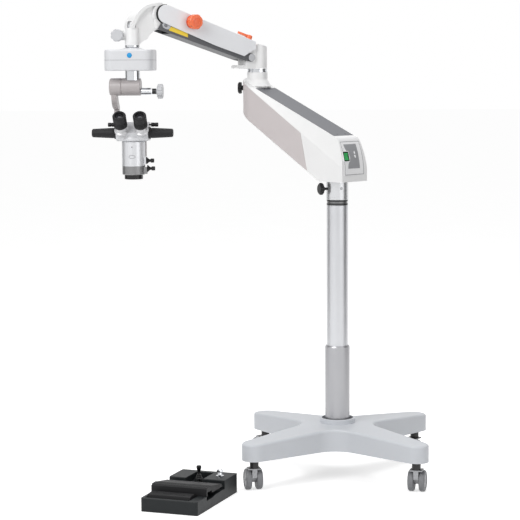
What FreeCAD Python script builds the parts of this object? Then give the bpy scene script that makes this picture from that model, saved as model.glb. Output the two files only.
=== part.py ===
import FreeCAD, Part
import math
import os
import Sketcher

# A surgical microscope on a four-castor floor stand, with its foot control.
# Millimetres. The origin lies on the floor under the column axis, +X to the right
# of a person who faces the operator's side, +Y away from that person, +Z up.

doc = FreeCAD.newDocument("surgical_microscope")
sheet = doc.addObject("Spreadsheet::Sheet", "sizes")

# Driving dimensions: name, value, what it is.
DRIVING_SIZES = [
    ("fit", 0.3, "gap between pieces that seat on each other"),
    ("running", 0.06, "radial gap of a shaft that turns in its bore"),
    ("leg_reach", 283, "leg tip centre from the column axis, along x and y"),
    ("leg_tip", 43, "radius of a leg tip in plan"),
    ("leg_flare", 5.7, "degrees by which a leg side opens towards the hub"),
    ("waist", 133, "column axis to the middle of the hollow between two legs"),
    ("cover_low", 109, "height of the lower rim of the base cover"),
    ("cover_edge", 170, "height of the base roof at the leg tips"),
    ("cover_peak", 192, "height of the base roof at the hub"),
    ("cover_wall", 4, "wall of the base cover"),
    ("cover_round", 9, "rounding of the roof edge"),
    ("collar_in", 56.5, "inner radius of the ring round the column foot"),
    ("collar_out", 64, "outer radius of the ring round the column foot"),
    ("collar_top", 209, "top of the ring round the column foot"),
    ("frame_gap", 2.5, "gap between the iron frame and the base cover"),
    ("frame_low", 113, "underside of the iron frame"),
    ("frame_high", 158, "top of the legs of the iron frame"),
    ("hub_radius", 72, "radius of the frame hub"),
    ("column_seat", 124, "height at which the column stands in the hub"),
    ("sleeve_radius", 44.5, "outer radius of the lower sleeve"),
    ("sleeve_top", 474, "top of the lower sleeve"),
    ("tube_radius", 38, "outer radius of the column tube"),
    ("tube_wall", 4, "wall of the column tube"),
    ("tube_top", 984, "top of the column tube"),
    ("ring_height", 18, "height of the dark bearing ring"),
    ("spindle_radius", 22, "radius of the spindle that the arm turns on"),
    ("spindle_top", 1146, "top of that spindle"),
    ("spindle_plug", 80, "length of the spindle inside the tube"),
    ("castor_radius", 37.5, "radius of a castor wheel"),
    ("castor_width", 21, "width of one castor wheel"),
    ("castor_web", 17, "width of the castor body between its wheels"),
    ("castor_trail", 20, "castor axle behind its stem"),
    ("castor_axle", 5, "radius of the castor axle"),
    ("castor_neck", 15.5, "radius of the black castor neck"),
    ("castor_stem", 7, "radius of the castor stem in its socket"),
    ("arm_turn", 143, "direction of the lower arm, in degrees from +X"),
    ("arm_reach", 379, "column axis to the axis of the arm post"),
    ("arm_half", 71, "half width of the lower arm"),
    ("arm_wall", 4, "wall of the lower arm housing"),
    ("arm_front", 80, "end face of the lower arm in front of the column axis"),
    ("arm_low", 1069, "underside of the lower arm at the column"),
    ("arm_low_run", 27, "where the underside starts to rise"),
    ("arm_low_slope", 32.3, "slope of the underside in degrees"),
    ("arm_end", 352, "centre of the round end of the lower arm"),
    ("arm_roof", 1245.5, "height of the roof line above the column axis"),
    ("arm_roof_slope", 24.45, "slope of the roof in degrees"),
    ("arm_side", 1170.5, "height of the shoulder line above the column axis"),
    ("arm_side_slope", 32.95, "slope of the shoulder line in degrees"),
    ("arm_flat", 60, "half width of the flat roof"),
    ("arm_face_start", 1100, "height at which the end face starts to curve"),
    ("arm_face_radius", 260, "radius of the curved end face"),
    ("arm_face_top", 1212, "height at which the end face turns into the roof"),
    ("arm_nose", 24, "radius between the end face and the roof"),
    ("cover_sheet", 1.6, "thickness of the side cover"),
    ("cover_front", 112, "front of the side cover at its upper corner"),
    ("cover_lean", 30, "how far the front edge of the side cover leans"),
    ("strip_start", 30, "front end of the dark roof strip"),
    ("strip_end", 340, "rear end of the dark roof strip"),
    ("strip_half", 56, "half width of the dark roof strip"),
    ("strip_sheet", 2, "thickness of the dark roof strip"),
    ("panel_half", 55, "half width of the control panel"),
    ("panel_side", 4, "middle of the control panel towards the near side"),
    ("panel_low", 1093, "lower edge of the control panel"),
    ("panel_run", 45, "upper edge of the control panel in front of the column axis"),
    ("panel_sheet", 1.6, "thickness of the control panel"),
    ("switch_side", 44, "power switch from the middle of the panel"),
    ("switch_height", 1160, "height of the power switch"),
    ("switch_wide", 26, "width of the power switch"),
    ("switch_tall", 30, "height of the rocker of the power switch"),
    ("key_side", 7, "brightness key from the middle of the housing"),
    ("key_height", 1165, "height of the brightness key"),
    ("key_wide", 10, "width of the brightness key"),
    ("key_tall", 34, "height of the brightness key"),
    ("rocker_play", 0.7, "gap above and below a rocker"),
    ("socket_radius", 38, "radius of the socket of the arm post"),
    ("socket_top", 1458, "top of that socket"),
    ("socket_depth", 150, "depth of the post spindle in its socket"),
    ("hub_collar_low", 1002.3, "lower end of the silver collar"),
    ("hub_collar_radius", 39.5, "radius of the silver collar"),
    ("hub_collar_neck", 30, "radius of its neck inside the housing"),
    ("beam_half", 32, "half width of the beam inside the lower arm"),
    ("knob_radius", 21.5, "radius of the black clamp knobs"),
    ("knob_thick", 20, "thickness of the black clamp knobs"),
    ("knob_height", 1042, "height of the clamp knob on the silver collar"),
    ("collar_knob_swing", 25, "degrees by which that knob looks towards the operator"),
    ("socket_knob_height", 1401, "height of the clamp knob on the post socket"),
    ("lift_turn", 216, "direction of the balance arm, in degrees from +X"),
    ("post_radius", 37.5, "radius of the arm post"),
    ("post_ring", 13, "height of the ring under the arm post"),
    ("post_spindle", 20, "radius of the spindle under the arm post"),
    ("pivot_run", 46, "rear pivots in front of the post axis"),
    ("link_pivot", 1512, "height of the rear pivot of the lower link"),
    ("pivot_rise", 40, "upper pivot above the lower pivot"),
    ("link_run", 358, "front pivots ahead of the rear pivots"),
    ("link_climb", 114, "front pivots above the rear pivots"),
    ("pin_radius", 6, "radius of the pivot pins"),
    ("beam_radius", 15, "radius of the spring tube"),
    ("slot_half", 15.5, "half width of the slots for the spring tube"),
    ("lug_half", 29, "half width over the pivot lugs"),
    ("plate_in", 31, "inner half width of the lower link"),
    ("plate_out", 35, "outer half width of the lower link"),
    ("shell_in", 39.5, "inner half width of the balance arm cover"),
    ("shell_out", 42, "outer half width of the balance arm cover"),
    ("nose_radius", 33, "round nose of the balance arm cover"),
    ("nose_gap", 3, "gap round that nose"),
    ("head_run", 521, "head axis ahead of the post axis"),
    ("sleeve_low", 1556, "lower end of the head sleeve"),
    ("sleeve_high", 1617, "upper end of the head sleeve"),
    ("head_sleeve", 26, "radius of the head sleeve"),
    ("head_spindle", 16, "radius of the head spindle"),
    ("ear_reach", 50, "clamp screw beside the head axis"),
    ("ear_height", 1591, "height of the clamp screw of the head"),
    ("box_half_x", 86.5, "half width of the positioning unit"),
    ("box_shift", 6.5, "middle of the positioning unit left of the head axis"),
    ("box_half_y", 75, "half depth of the positioning unit"),
    ("box_low", 1466, "underside of the positioning unit"),
    ("box_seam", 1504, "seam of the positioning unit"),
    ("box_high", 1541, "shoulder of the positioning unit"),
    ("box_round", 30, "corner radius of the positioning unit"),
    ("box_wall", 4, "wall of the positioning unit"),
    ("button_radius", 9, "radius of the blue button"),
    ("button_height", 1520, "height of the blue button"),
    ("travel", 25, "travel of each carriage to either side"),
    ("shaft_radius", 26.5, "radius of the white drop shaft"),
    ("tilt_height", 1409, "height of the tilt axis"),
    ("barrel_radius", 31, "radius of the tilt barrel"),
    ("barrel_left", 39, "left end of the tilt barrel"),
    ("barrel_right", 29, "right end of the tilt barrel"),
    ("disc_left", 82, "left end of the tilt arm hub"),
    ("tilt_shaft", 14, "radius of the tilt shaft"),
    ("fitting_radius", 12.5, "radius of the silver fitting"),
    ("fitting_drop", 16, "fitting below the tilt axis"),
    ("fitting_end", 70, "outer end of the silver fitting"),
    ("tilt_knob_radius", 26.5, "radius of the tilt knob"),
    ("tilt_knob_in", 88, "inner face of the tilt knob"),
    ("tilt_knob_out", 108, "outer face of the tilt knob"),
    ("drop_width", 18, "width of the drop arm"),
    ("drop_left", 76, "left side of the drop arm"),
    ("guide_back", 62, "centre of the focus guide behind the scope axis"),
    ("guide_low", 1136, "lower end of the focus guide"),
    ("guide_high", 1252, "upper end of the focus guide"),
    ("guide_half", 38, "half width of the focus guide"),
    ("focus_travel", 20, "focus travel to either side"),
    ("scope_radius", 41.7, "radius of the microscope body"),
    ("scope_high", 1217, "top of the microscope body"),
    ("scope_low", 1128, "underside of the microscope body"),
    ("ring_low", 1097, "underside of the silver lower ring"),
    ("objective_low", 1081, "underside of the objective ring"),
    ("objective_radius", 33, "radius of the objective ring"),
    ("lens_radius", 27, "radius of the objective lens"),
    ("small_knob", 7.5, "radius of the small black knobs"),
    ("tube_half_x", 58, "half width of the binocular housing"),
    ("tube_high", 1284, "top of the binocular housing"),
    ("tube_half_y", 44, "half depth of the binocular housing"),
    ("eye_spacing", 72, "distance between the eyepieces"),
    ("eye_tilt", 45, "degrees by which the eyepieces look up"),
    ("eye_front", 42, "centre of an eyepiece seat in front of the scope axis"),
    ("eye_height", 1254, "height of the centre of an eyepiece seat"),
    ("eye_tube", 21, "radius of the eyepiece tubes"),
    ("eye_cup", 24, "radius of the eyecups"),
    ("grip_height", 1246, "height of the handles"),
    ("grip_ahead", 18, "handles in front of the scope axis"),
    ("grip_end", 145, "outer end of a handle from the scope axis"),
    ("grip_radius", 18, "radius of a handle"),
    ("grip_bar", 7, "radius of the bar that joins the handles"),
    ("pupil_knob_height", 1279, "height of the eye distance knobs"),
    ("foot_turn", -16, "direction of the foot control, in degrees"),
    ("foot_x", -640, "front left corner of the foot control, x"),
    ("foot_y", -610, "front left corner of the foot control, y"),
    ("foot_wide", 205, "width of the foot control"),
    ("foot_long", 378, "length of the foot control"),
    ("foot_rim", 47, "height of the front rim of the foot control"),
    ("foot_high", 67, "height of the rear block of the foot control"),
    ("foot_block", 250, "front of the rear block of the foot control"),
    ("foot_floor", 24, "height of the well floor of the foot control"),
]
for row, (alias, value, note) in enumerate(DRIVING_SIZES, start=1):
    sheet.set(f"A{row}", alias.replace("_", " "))
    sheet.set(f"B{row}", str(value))
    sheet.setAlias(f"B{row}", alias)
    sheet.set(f"C{row}", note)
doc.recompute()


class Size:
    """A number together with the sheet formula that it comes from."""

    def __init__(self, text, number):
        self.text = text
        self.number = number

    def __add__(self, other):
        return Size(f"({self.text} + {text_of(other)})", self.number + number_of(other))

    def __radd__(self, other):
        return Size(f"({text_of(other)} + {self.text})", number_of(other) + self.number)

    def __sub__(self, other):
        return Size(f"({self.text} - {text_of(other)})", self.number - number_of(other))

    def __rsub__(self, other):
        return Size(f"({text_of(other)} - {self.text})", number_of(other) - self.number)

    def __mul__(self, other):
        return Size(f"({self.text} * {text_of(other)})", self.number * number_of(other))

    def __rmul__(self, other):
        return Size(f"({text_of(other)} * {self.text})", number_of(other) * self.number)

    def __truediv__(self, other):
        return Size(f"({self.text} / {text_of(other)})", self.number / number_of(other))

    def __neg__(self):
        return Size(f"(0 - {self.text})", -self.number)

    def __float__(self):
        return float(self.number)


def text_of(value):
    return value.text if isinstance(value, Size) else repr(float(value))


def number_of(value):
    return float(value)


def sine(angle):
    return Size(f"sin({text_of(angle)})", math.sin(math.radians(float(angle))))


def cosine(angle):
    return Size(f"cos({text_of(angle)})", math.cos(math.radians(float(angle))))


def tangent(angle):
    return Size(f"tan({text_of(angle)})", math.tan(math.radians(float(angle))))


def root(value):
    return Size(f"sqrt({text_of(value)})", math.sqrt(float(value)))


class Sheet:
    """Reads a driving dimension by its name."""

    def __getattr__(self, alias):
        return Size(f"sizes.{alias}", float(sheet.get(alias)))


size = Sheet()
nodes = []


def keep(thing, label, placement=None):
    """Names a finished sub-part and puts it in its place."""
    for blank in doc.getObjectsByLabel(label):
        if blank is not thing:
            blank.Label = f"{label}_blank"
    thing.Label = label
    if placement is not None:
        thing.Placement = placement
    nodes.append(thing)
    return thing


def bind(thing, prop, value):
    """Ties a property to the sheet, or sets it where the value is a plain number."""
    if isinstance(value, Size):
        thing.setExpression(prop, value.text)
    else:
        setattr(thing, prop, value)


def at(x=0, y=0, z=0, turn=0, lean=None):
    """A placement: a lean first, as (axis, degrees), then a turn about Z, then a shift."""
    rotation = FreeCAD.Rotation(FreeCAD.Vector(0, 0, 1), float(turn))
    if lean is not None:
        axis, degrees = lean
        rotation = rotation * FreeCAD.Rotation(FreeCAD.Vector(*axis), float(degrees))
    return FreeCAD.Placement(FreeCAD.Vector(float(x), float(y), float(z)), rotation)


class Piece:
    """A PartDesign body with short calls for its sketches and features."""

    def __init__(self, name):
        self.body = doc.addObject("PartDesign::Body", name)
        self.name = name
        self.count = 0

    def role(self, role):
        return next(part for part in self.body.Origin.OriginFeatures if part.Role == role)

    def add(self, kind, word):
        self.count += 1
        return self.body.newObject(kind, f"{self.name}_{word}_{self.count}")

    def sketch(self, plane, rise):
        sketch = self.add("Sketcher::SketchObject", "sketch")
        sketch.AttachmentSupport = [(self.role(f"{plane}_Plane"), "")]
        sketch.MapMode = "FlatFace"
        if isinstance(rise, Size):
            sketch.setExpression("AttachmentOffset.Base.z", rise.text)
        else:
            sketch.AttachmentOffset = at(z=rise)
        return sketch

    def outline(self, points, plane="XY", rise=0):
        """A closed outline. A point is (x, y), or (x, y, radius) where an arc leads to it:
        a positive radius turns left on the way, a negative one turns right."""
        sketch = self.sketch(plane, rise)
        lines = []
        ends = []
        for index, start in enumerate(points):
            goal = points[(index + 1) % len(points)]
            a = FreeCAD.Vector(float(start[0]), float(start[1]), 0)
            b = FreeCAD.Vector(float(goal[0]), float(goal[1]), 0)
            if len(goal) == 2:
                lines.append(Part.LineSegment(a, b))
                ends.append((1, 2))
                continue
            radius = float(goal[2])
            chord = b - a
            rise_of_centre = math.sqrt(max(radius ** 2 - chord.Length ** 2 / 4, 0))
            left = FreeCAD.Vector(-chord.y, chord.x, 0).normalize()
            centre = (a + b) * 0.5 + left * math.copysign(rise_of_centre, radius)
            first, last = (a, b) if radius > 0 else (b, a)
            from_angle = math.atan2(first.y - centre.y, first.x - centre.x)
            to_angle = math.atan2(last.y - centre.y, last.x - centre.x)
            if to_angle < from_angle:
                to_angle += 2 * math.pi
            circle = Part.Circle(centre, FreeCAD.Vector(0, 0, 1), abs(radius))
            lines.append(Part.ArcOfCircle(circle, from_angle, to_angle))
            ends.append((1, 2) if radius > 0 else (2, 1))
        wanted = []
        for index, point in enumerate(points):
            wanted.append(("DistanceX", index, ends[index][0], point[0]))
            wanted.append(("DistanceY", index, ends[index][0], point[1]))
            if len(point) == 3:
                radius = point[2] if float(point[2]) > 0 else -point[2]
                wanted.append(("Radius", (index - 1) % len(points), 0, radius))
        joints = []
        for index in range(len(points)):
            follower = (index + 1) % len(points)
            joints.append(Sketcher.Constraint(
                "Coincident", index, ends[index][1], follower, ends[follower][0]))
        self.constrain(sketch, lines, wanted, joints)
        return sketch

    def constrain(self, sketch, shapes, wanted, joints=()):
        """Draws the lines and ties every measure to the sheet."""
        made = []
        for kind, element, end, value in wanted:
            if kind == "Radius":
                made.append(Sketcher.Constraint(kind, element, float(value)))
            else:
                made.append(Sketcher.Constraint(kind, -1, 1, element, end, float(value)))
        sketch.addGeometry(shapes)
        sketch.addConstraint(made + list(joints))
        for number, (kind, element, end, value) in enumerate(wanted):
            if isinstance(value, Size):
                sketch.setExpression(f"Constraints[{number}]", value.text)

    def circles(self, circles, plane="XY", rise=0):
        """Full circles, each given as (x, y, radius)."""
        sketch = self.sketch(plane, rise)
        shapes = []
        wanted = []
        for index, (x, y, radius) in enumerate(circles):
            centre = FreeCAD.Vector(float(x), float(y), 0)
            shapes.append(Part.Circle(centre, FreeCAD.Vector(0, 0, 1), float(radius)))
            wanted.append(("DistanceX", index, 3, x))
            wanted.append(("DistanceY", index, 3, y))
            wanted.append(("Radius", index, 0, radius))
        self.constrain(sketch, shapes, wanted)
        return sketch

    def feature(self, kind, sketch, length, middle, back):
        feature = self.add(f"PartDesign::{kind}", kind.lower())
        feature.Profile = (sketch, [""])
        bind(feature, "Length", length)
        if middle:
            feature.SideType = "Symmetric"
        feature.Reversed = back
        return feature

    def pad(self, sketch, length, middle=False, back=False):
        return self.feature("Pad", sketch, length, middle, back)

    def pocket(self, sketch, length, middle=False, back=False):
        return self.feature("Pocket", sketch, length, middle, back)

    def turned(self, points, cut=False, sweep=360):
        """Turns a profile of (radius, height) points about the body's Z axis."""
        sketch = self.outline(points, "XZ")
        kind = "Groove" if cut else "Revolution"
        feature = self.add(f"PartDesign::{kind}", kind.lower())
        feature.Profile = (sketch, [""])
        feature.ReferenceAxis = (sketch, ["V_Axis"])
        feature.Angle = sweep
        return feature

    def around(self, feature, count):
        """Repeats a feature round the body's Z axis."""
        pattern = self.add("PartDesign::PolarPattern", "pattern")
        pattern.Originals = [feature]
        pattern.Axis = (self.role("Z_Axis"), [""])
        pattern.Angle = 360
        pattern.Occurrences = count
        self.body.Tip = pattern
        return pattern

    def dressed(self, kind, prop, value, wanted):
        doc.recompute()
        base = self.body.Tip
        edges = [f"Edge{number}" for number, edge in enumerate(base.Shape.Edges, start=1)
                 if wanted(edge)]
        feature = self.add(f"PartDesign::{kind}", kind.lower())
        feature.Base = (base, edges)
        bind(feature, prop, value)
        return feature

    def fillet(self, radius, wanted):
        return self.dressed("Fillet", "Radius", radius, wanted)

    def chamfer(self, width, wanted):
        return self.dressed("Chamfer", "Size", width, wanted)

    def keep(self, placement=None):
        return keep(self.body, self.name, placement)


def level(height):
    """Picks the edges that lie flat at one height."""
    def wanted(edge):
        box = edge.BoundBox
        return abs(box.ZMin - float(height)) < 1e-3 and abs(box.ZMax - float(height)) < 1e-3
    return wanted


def upright(edge):
    """Picks the straight edges that stand along Z."""
    box = edge.BoundBox
    return box.XLength < 1e-3 and box.YLength < 1e-3


def across(edge):
    """Picks the straight edges that run along Y."""
    box = edge.BoundBox
    return box.XLength < 1e-3 and box.ZLength < 1e-3


def box(name, length, width, height, x=0, y=0, z=0, turn=0, centred=True):
    """A block, centred on x and y unless told otherwise, standing on z."""
    block = doc.addObject("Part::Box", name)
    bind(block, "Length", length)
    bind(block, "Width", width)
    bind(block, "Height", height)
    shift = FreeCAD.Vector(-float(length) / 2, -float(width) / 2, 0)
    rotation = FreeCAD.Rotation(FreeCAD.Vector(0, 0, 1), float(turn))
    corner = rotation.multVec(shift) if centred else FreeCAD.Vector(0, 0, 0)
    place = FreeCAD.Vector(float(x), float(y), float(z)) + corner
    block.Placement = FreeCAD.Placement(place, rotation)
    return block


def rod(name, radius, length, x=0, y=0, z=0, along=(0, 0, 1)):
    """A round rod that starts at a point and runs along a direction."""
    bar = doc.addObject("Part::Cylinder", name)
    bind(bar, "Radius", radius)
    bind(bar, "Height", length)
    rotation = FreeCAD.Rotation(FreeCAD.Vector(0, 0, 1), FreeCAD.Vector(*along))
    bar.Placement = FreeCAD.Placement(FreeCAD.Vector(float(x), float(y), float(z)), rotation)
    return bar


def joined(name, *things):
    fuse = doc.addObject("Part::MultiFuse", name)
    fuse.Shapes = [thing.body if isinstance(thing, Piece) else thing for thing in things]
    fuse.Refine = True
    return fuse


def common(name, *things):
    overlap = doc.addObject("Part::MultiCommon", name)
    overlap.Shapes = [thing.body if isinstance(thing, Piece) else thing for thing in things]
    return overlap


def without(name, base, *tools):
    """A piece with other shapes taken out of it."""
    tool = tools[0] if len(tools) == 1 else joined(f"{name}_tools", *tools)
    cut = doc.addObject("Part::Cut", name)
    cut.Base = base.body if isinstance(base, Piece) else base
    cut.Tool = tool.body if isinstance(tool, Piece) else tool
    return cut


# The base: a cross-shaped moulded cover over a heavy iron cross


def cross_outline(tip, waist):
    """Plan of the cross: four legs with round tips and hollows between them.
    A hollow's radius follows from its depth and from the leg sides that touch it."""
    side = 45 + size.leg_flare
    normal_x = sine(side)
    normal_y = cosine(side)
    reach = size.leg_reach * (normal_x - normal_y) + tip
    hollow = (waist * normal_x - reach) / (1 - normal_x)
    centre = waist + hollow
    quarter = [
        (waist, 0 * waist, None),
        (centre - hollow * normal_x, hollow * normal_y, -hollow),
        (size.leg_reach + tip * normal_x, size.leg_reach - tip * normal_y, None),
        (size.leg_reach - tip * normal_y, size.leg_reach + tip * normal_x, tip),
        (hollow * normal_y, centre - hollow * normal_x, None),
        (0 * waist, waist, -hollow),
    ]
    points = []
    for turn in range(4):
        for index, (x, y, radius) in enumerate(quarter):
            for _ in range(turn):
                x, y = -y, x
            if index == 5:
                continue
            if index == 0 and turn > 0:
                radius = -hollow
            points.append((x, y) if radius is None else (x, y, radius))
    first = points[0]
    points[0] = (first[0], first[1], -hollow)
    return points


def roof_height(radius, drop=0):
    """Height of the conical base roof at a distance from the column axis."""
    span = size.leg_reach * math.sqrt(2) + size.leg_tip - size.collar_out
    fall = (size.cover_peak - size.cover_edge) / span
    return size.cover_peak - drop - fall * (radius - size.collar_out)


def cross_block(name, tip, waist, low, drop, core):
    """The cross, padded up from a height and cut to the roof cone outside a core."""
    block = Piece(name)
    block.pad(block.outline(cross_outline(tip, waist), rise=low), size.collar_top - low)
    far = (size.leg_reach + size.leg_tip) * 2
    block.turned([
        (core, roof_height(core, drop)), (far, roof_height(far, drop)),
        (far, size.collar_top + 10), (core, size.collar_top + 10),
    ], cut=True)
    return block


def make_base():
    shell = cross_block("cover_shell", size.leg_tip, size.waist, size.cover_low, 0,
                        size.collar_out)
    def roof_edge(edge):
        box = edge.BoundBox
        inner = float(size.hub_radius)
        middle = edge.valueAt((edge.FirstParameter + edge.LastParameter) / 2)
        return (box.ZMin > float(size.cover_low) + 20
                and math.hypot(middle.x, middle.y) > inner
                and box.ZMax < float(size.collar_top) - 1
                and not upright(edge))

    shell.fillet(size.cover_round, roof_edge)
    shell.fillet(2.5, level(size.collar_top))
    hollow = cross_block("cover_hollow", size.leg_tip - size.cover_wall,
                         size.waist - size.cover_wall, size.cover_low - 1, size.cover_wall,
                         0 * size.collar_out)
    opening = rod("cover_opening", size.collar_in, size.collar_top, z=20)
    keep(without("base_cover", shell, hollow, opening), "base_cover")

    gap = size.cover_wall + size.frame_gap
    frame = Piece("base_frame")
    outline = cross_outline(size.leg_tip - gap, size.waist - gap)
    frame.pad(frame.outline(outline, rise=size.frame_low), size.frame_high - size.frame_low)
    hub_top = roof_height(size.hub_radius, size.cover_wall) - size.fit
    frame.pad(frame.circles([(0, 0, size.hub_radius)], rise=size.frame_low),
              hub_top - size.frame_low)
    frame.pocket(frame.circles([(0, 0, size.sleeve_radius + size.fit)], rise=hub_top),
                 hub_top - size.column_seat)
    socket = frame.circles(
        [(size.leg_reach, size.leg_reach, size.castor_stem + size.running)],
        rise=size.frame_low)
    stem_hole = frame.pocket(socket, 40, back=True)
    frame.around(stem_hole, 4)
    frame.keep()


def castor(place, x, y, turn):
    """A twin-wheel castor. Its own frame has the stem on Z and the axle behind, along -X."""
    sheet_side = size.castor_web / 2
    fork = Piece(f"castor_body_{place}")
    hood = size.castor_radius - 6
    web = fork.outline([
        (-size.castor_trail, size.castor_radius - 12),
        (size.castor_neck - 4, size.castor_radius * 1.25),
        (size.castor_neck, size.castor_radius * 2 + 2),
        (-size.castor_neck, size.castor_radius * 2 + 4),
        (-size.castor_trail - hood, size.castor_radius, hood * 1.2),
        (-size.castor_trail - hood * 0.6, size.castor_radius - 10),
    ], "XZ")
    fork.pad(web, size.castor_web, middle=True)
    roof = fork.outline([
        (-size.castor_trail - 16, size.castor_radius * 2 + 1),
        (size.castor_neck - 1, size.castor_radius * 2 + 1),
        (size.castor_neck - 3, size.castor_radius * 2 + 6),
        (-size.castor_trail - 6, size.castor_radius * 2 + 5),
    ], "XZ")
    fork.pad(roof, size.castor_web + size.castor_width * 1.3, middle=True)
    neck_low = size.castor_radius * 2 + 2
    fork.pad(fork.circles([(0, 0, size.castor_neck)], rise=neck_low),
             size.frame_low - size.fit - neck_low)
    fork.pad(fork.circles([(0, 0, size.castor_stem)], rise=neck_low),
             size.frame_low + 36 - neck_low)
    fork.pocket(fork.circles(
        [(-size.castor_trail, size.castor_radius, size.castor_axle + size.running)], "XZ"),
        size.castor_web * 2, middle=True)
    fork.keep(at(x, y, turn=turn))

    wheels = Piece(f"castor_wheels_{place}")
    inner = sheet_side + 0.6
    outer = inner + size.castor_width
    rim = size.castor_radius
    profile = [
        (0, -outer + 4), (rim * 0.62, -outer + 3), (rim * 0.7, -outer), (rim - 5, -outer),
        (rim, -outer + 6, 7), (rim, -inner - 5), (rim - 5, -inner, 6), (size.castor_axle, -inner),
        (size.castor_axle, inner), (rim - 5, inner), (rim, inner + 5, 6), (rim, outer - 6),
        (rim - 5, outer, 7), (rim * 0.7, outer), (rim * 0.62, outer - 3), (0, outer - 4),
    ]
    wheels.turned(profile)
    turn_rad = math.radians(turn)
    trail = float(size.castor_trail)
    placement = FreeCAD.Placement(
        FreeCAD.Vector(float(x) - trail * math.cos(turn_rad),
                       float(y) - trail * math.sin(turn_rad), float(size.castor_radius)),
        FreeCAD.Rotation(FreeCAD.Vector(0, 0, 1), turn)
        * FreeCAD.Rotation(FreeCAD.Vector(1, 0, 0), 90))
    wheels.keep(placement)


def make_castors():
    reach = size.leg_reach
    castor("front_left", -reach, -reach, -75)
    castor("front_right", reach, -reach, -100)
    castor("rear_left", -reach, reach, 10)
    castor("rear_right", reach, reach, 60)


def make_column():
    inner = size.tube_radius + size.fit
    sleeve = Piece("column_sleeve")
    sleeve.turned([
        (inner, size.column_seat), (size.sleeve_radius, size.column_seat),
        (size.sleeve_radius, size.sleeve_top - 5),
        (size.sleeve_radius - 2.5, size.sleeve_top), (inner, size.sleeve_top),
    ])
    sleeve.keep()

    tube = Piece("column_tube")
    bore = size.tube_radius - size.tube_wall
    tube.turned([
        (bore, size.column_seat), (size.tube_radius, size.column_seat),
        (size.tube_radius, size.tube_top - 1.5), (size.tube_radius - 1.5, size.tube_top),
        (bore, size.tube_top),
    ])
    tube.keep()

    spindle = Piece("column_spindle")
    rim = size.tube_radius + 0.4
    ring_top = size.tube_top + size.ring_height
    plug = bore - size.fit
    plug_low = size.tube_top - size.spindle_plug
    spindle.turned([
        (0, plug_low), (plug - 2, plug_low), (plug, plug_low + 2), (plug, size.tube_top),
        (rim, size.tube_top), (rim, size.tube_top + 5), (rim - 1.6, size.tube_top + 6.5),
        (rim - 1.6, ring_top - 6.5), (rim, ring_top - 5), (rim, ring_top),
        (size.spindle_radius, ring_top), (size.spindle_radius, size.spindle_top - 2),
        (size.spindle_radius - 2, size.spindle_top), (0, size.spindle_top),
    ])
    spindle.keep()


# The lower arm. Its own frame has X along the arm, Y to its near side and Z up.


def roof_line(run):
    return size.arm_roof + tangent(size.arm_roof_slope) * run


def shoulder_line(run):
    return size.arm_side + tangent(size.arm_side_slope) * run


def floor_line(run):
    return size.arm_low + tangent(size.arm_low_slope) * (run - size.arm_low_run)


def face_run(height, radius=None):
    """Where the curved end face stands at a height, along the arm."""
    radius = size.arm_face_radius if radius is None else radius
    climb = height - size.arm_face_start
    return -size.arm_front + size.arm_face_radius - root(radius * radius - climb * climb)


def arm_profile(inset):
    """Side outline of the lower arm, moved inwards by an inset."""
    far = size.arm_end + size.arm_half
    roof_drop = inset / cosine(size.arm_roof_slope)
    floor_lift = inset / cosine(size.arm_low_slope)
    nose_run = face_run(size.arm_face_top)
    top_run = nose_run + size.arm_nose
    return [
        (-size.arm_front + inset, size.arm_low + inset),
        (size.arm_low_run - inset * 0.3, size.arm_low + inset),
        (far - inset, floor_line(far - inset) + floor_lift),
        (far - inset, roof_line(far - inset) - roof_drop),
        (top_run, roof_line(top_run) - roof_drop),
        (nose_run + inset, size.arm_face_top - inset * 0.6, size.arm_nose * 1.3 - inset),
        (-size.arm_front + inset, size.arm_face_start, size.arm_face_radius - inset),
    ]


def arm_plan(inset):
    """Plan of the lower arm: straight sides and a round far end."""
    half = size.arm_half - inset
    return [
        (-size.arm_front - 5 + inset, -half),
        (size.arm_end, -half),
        (size.arm_end + half, 0 * half, half),
        (size.arm_end, half, half),
        (-size.arm_front - 5 + inset, half),
    ]


def arm_section(body, run, inset):
    """Cross-section of the lower arm: flat roof, sloping shoulders, upright sides."""
    half = size.arm_half - inset
    flat = size.arm_flat - inset
    top = roof_line(run) - inset / cosine(size.arm_roof_slope)
    side = shoulder_line(run) - inset
    if float(side) > float(top) - 1:
        side = top - 1
    low = size.arm_low - 5
    return body.outline([
        (-half, low), (half, low), (half, side), (flat, top), (-flat, top), (-half, side),
    ], "YZ", run)


def arm_block(name, inset):
    """The outer or inner form of the lower arm."""
    loft = Piece(f"{name}_loft")
    meet = (size.arm_roof - size.arm_side) / (
        tangent(size.arm_side_slope) - tangent(size.arm_roof_slope)) - 8
    sections = [arm_section(loft, run, inset) for run in (
        -size.arm_front - 1, meet, size.arm_end + size.arm_half + 1)]
    doc.recompute()
    skin = loft.add("PartDesign::AdditiveLoft", "loft")
    skin.Profile = sections[0]
    skin.Sections = [(section, [""]) for section in sections[1:]]
    skin.Ruled = True
    doc.recompute()
    side = Piece(f"{name}_side")
    side.pad(side.outline(arm_profile(inset), "XZ"), size.arm_half * 3, middle=True)
    plan = Piece(f"{name}_plan")
    plan.pad(plan.outline(arm_plan(inset), rise=size.arm_low - 10), size.socket_top)
    return common(name, loft, side, plan)


def lower_arm_place():
    return at(turn=size.arm_turn)


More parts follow.
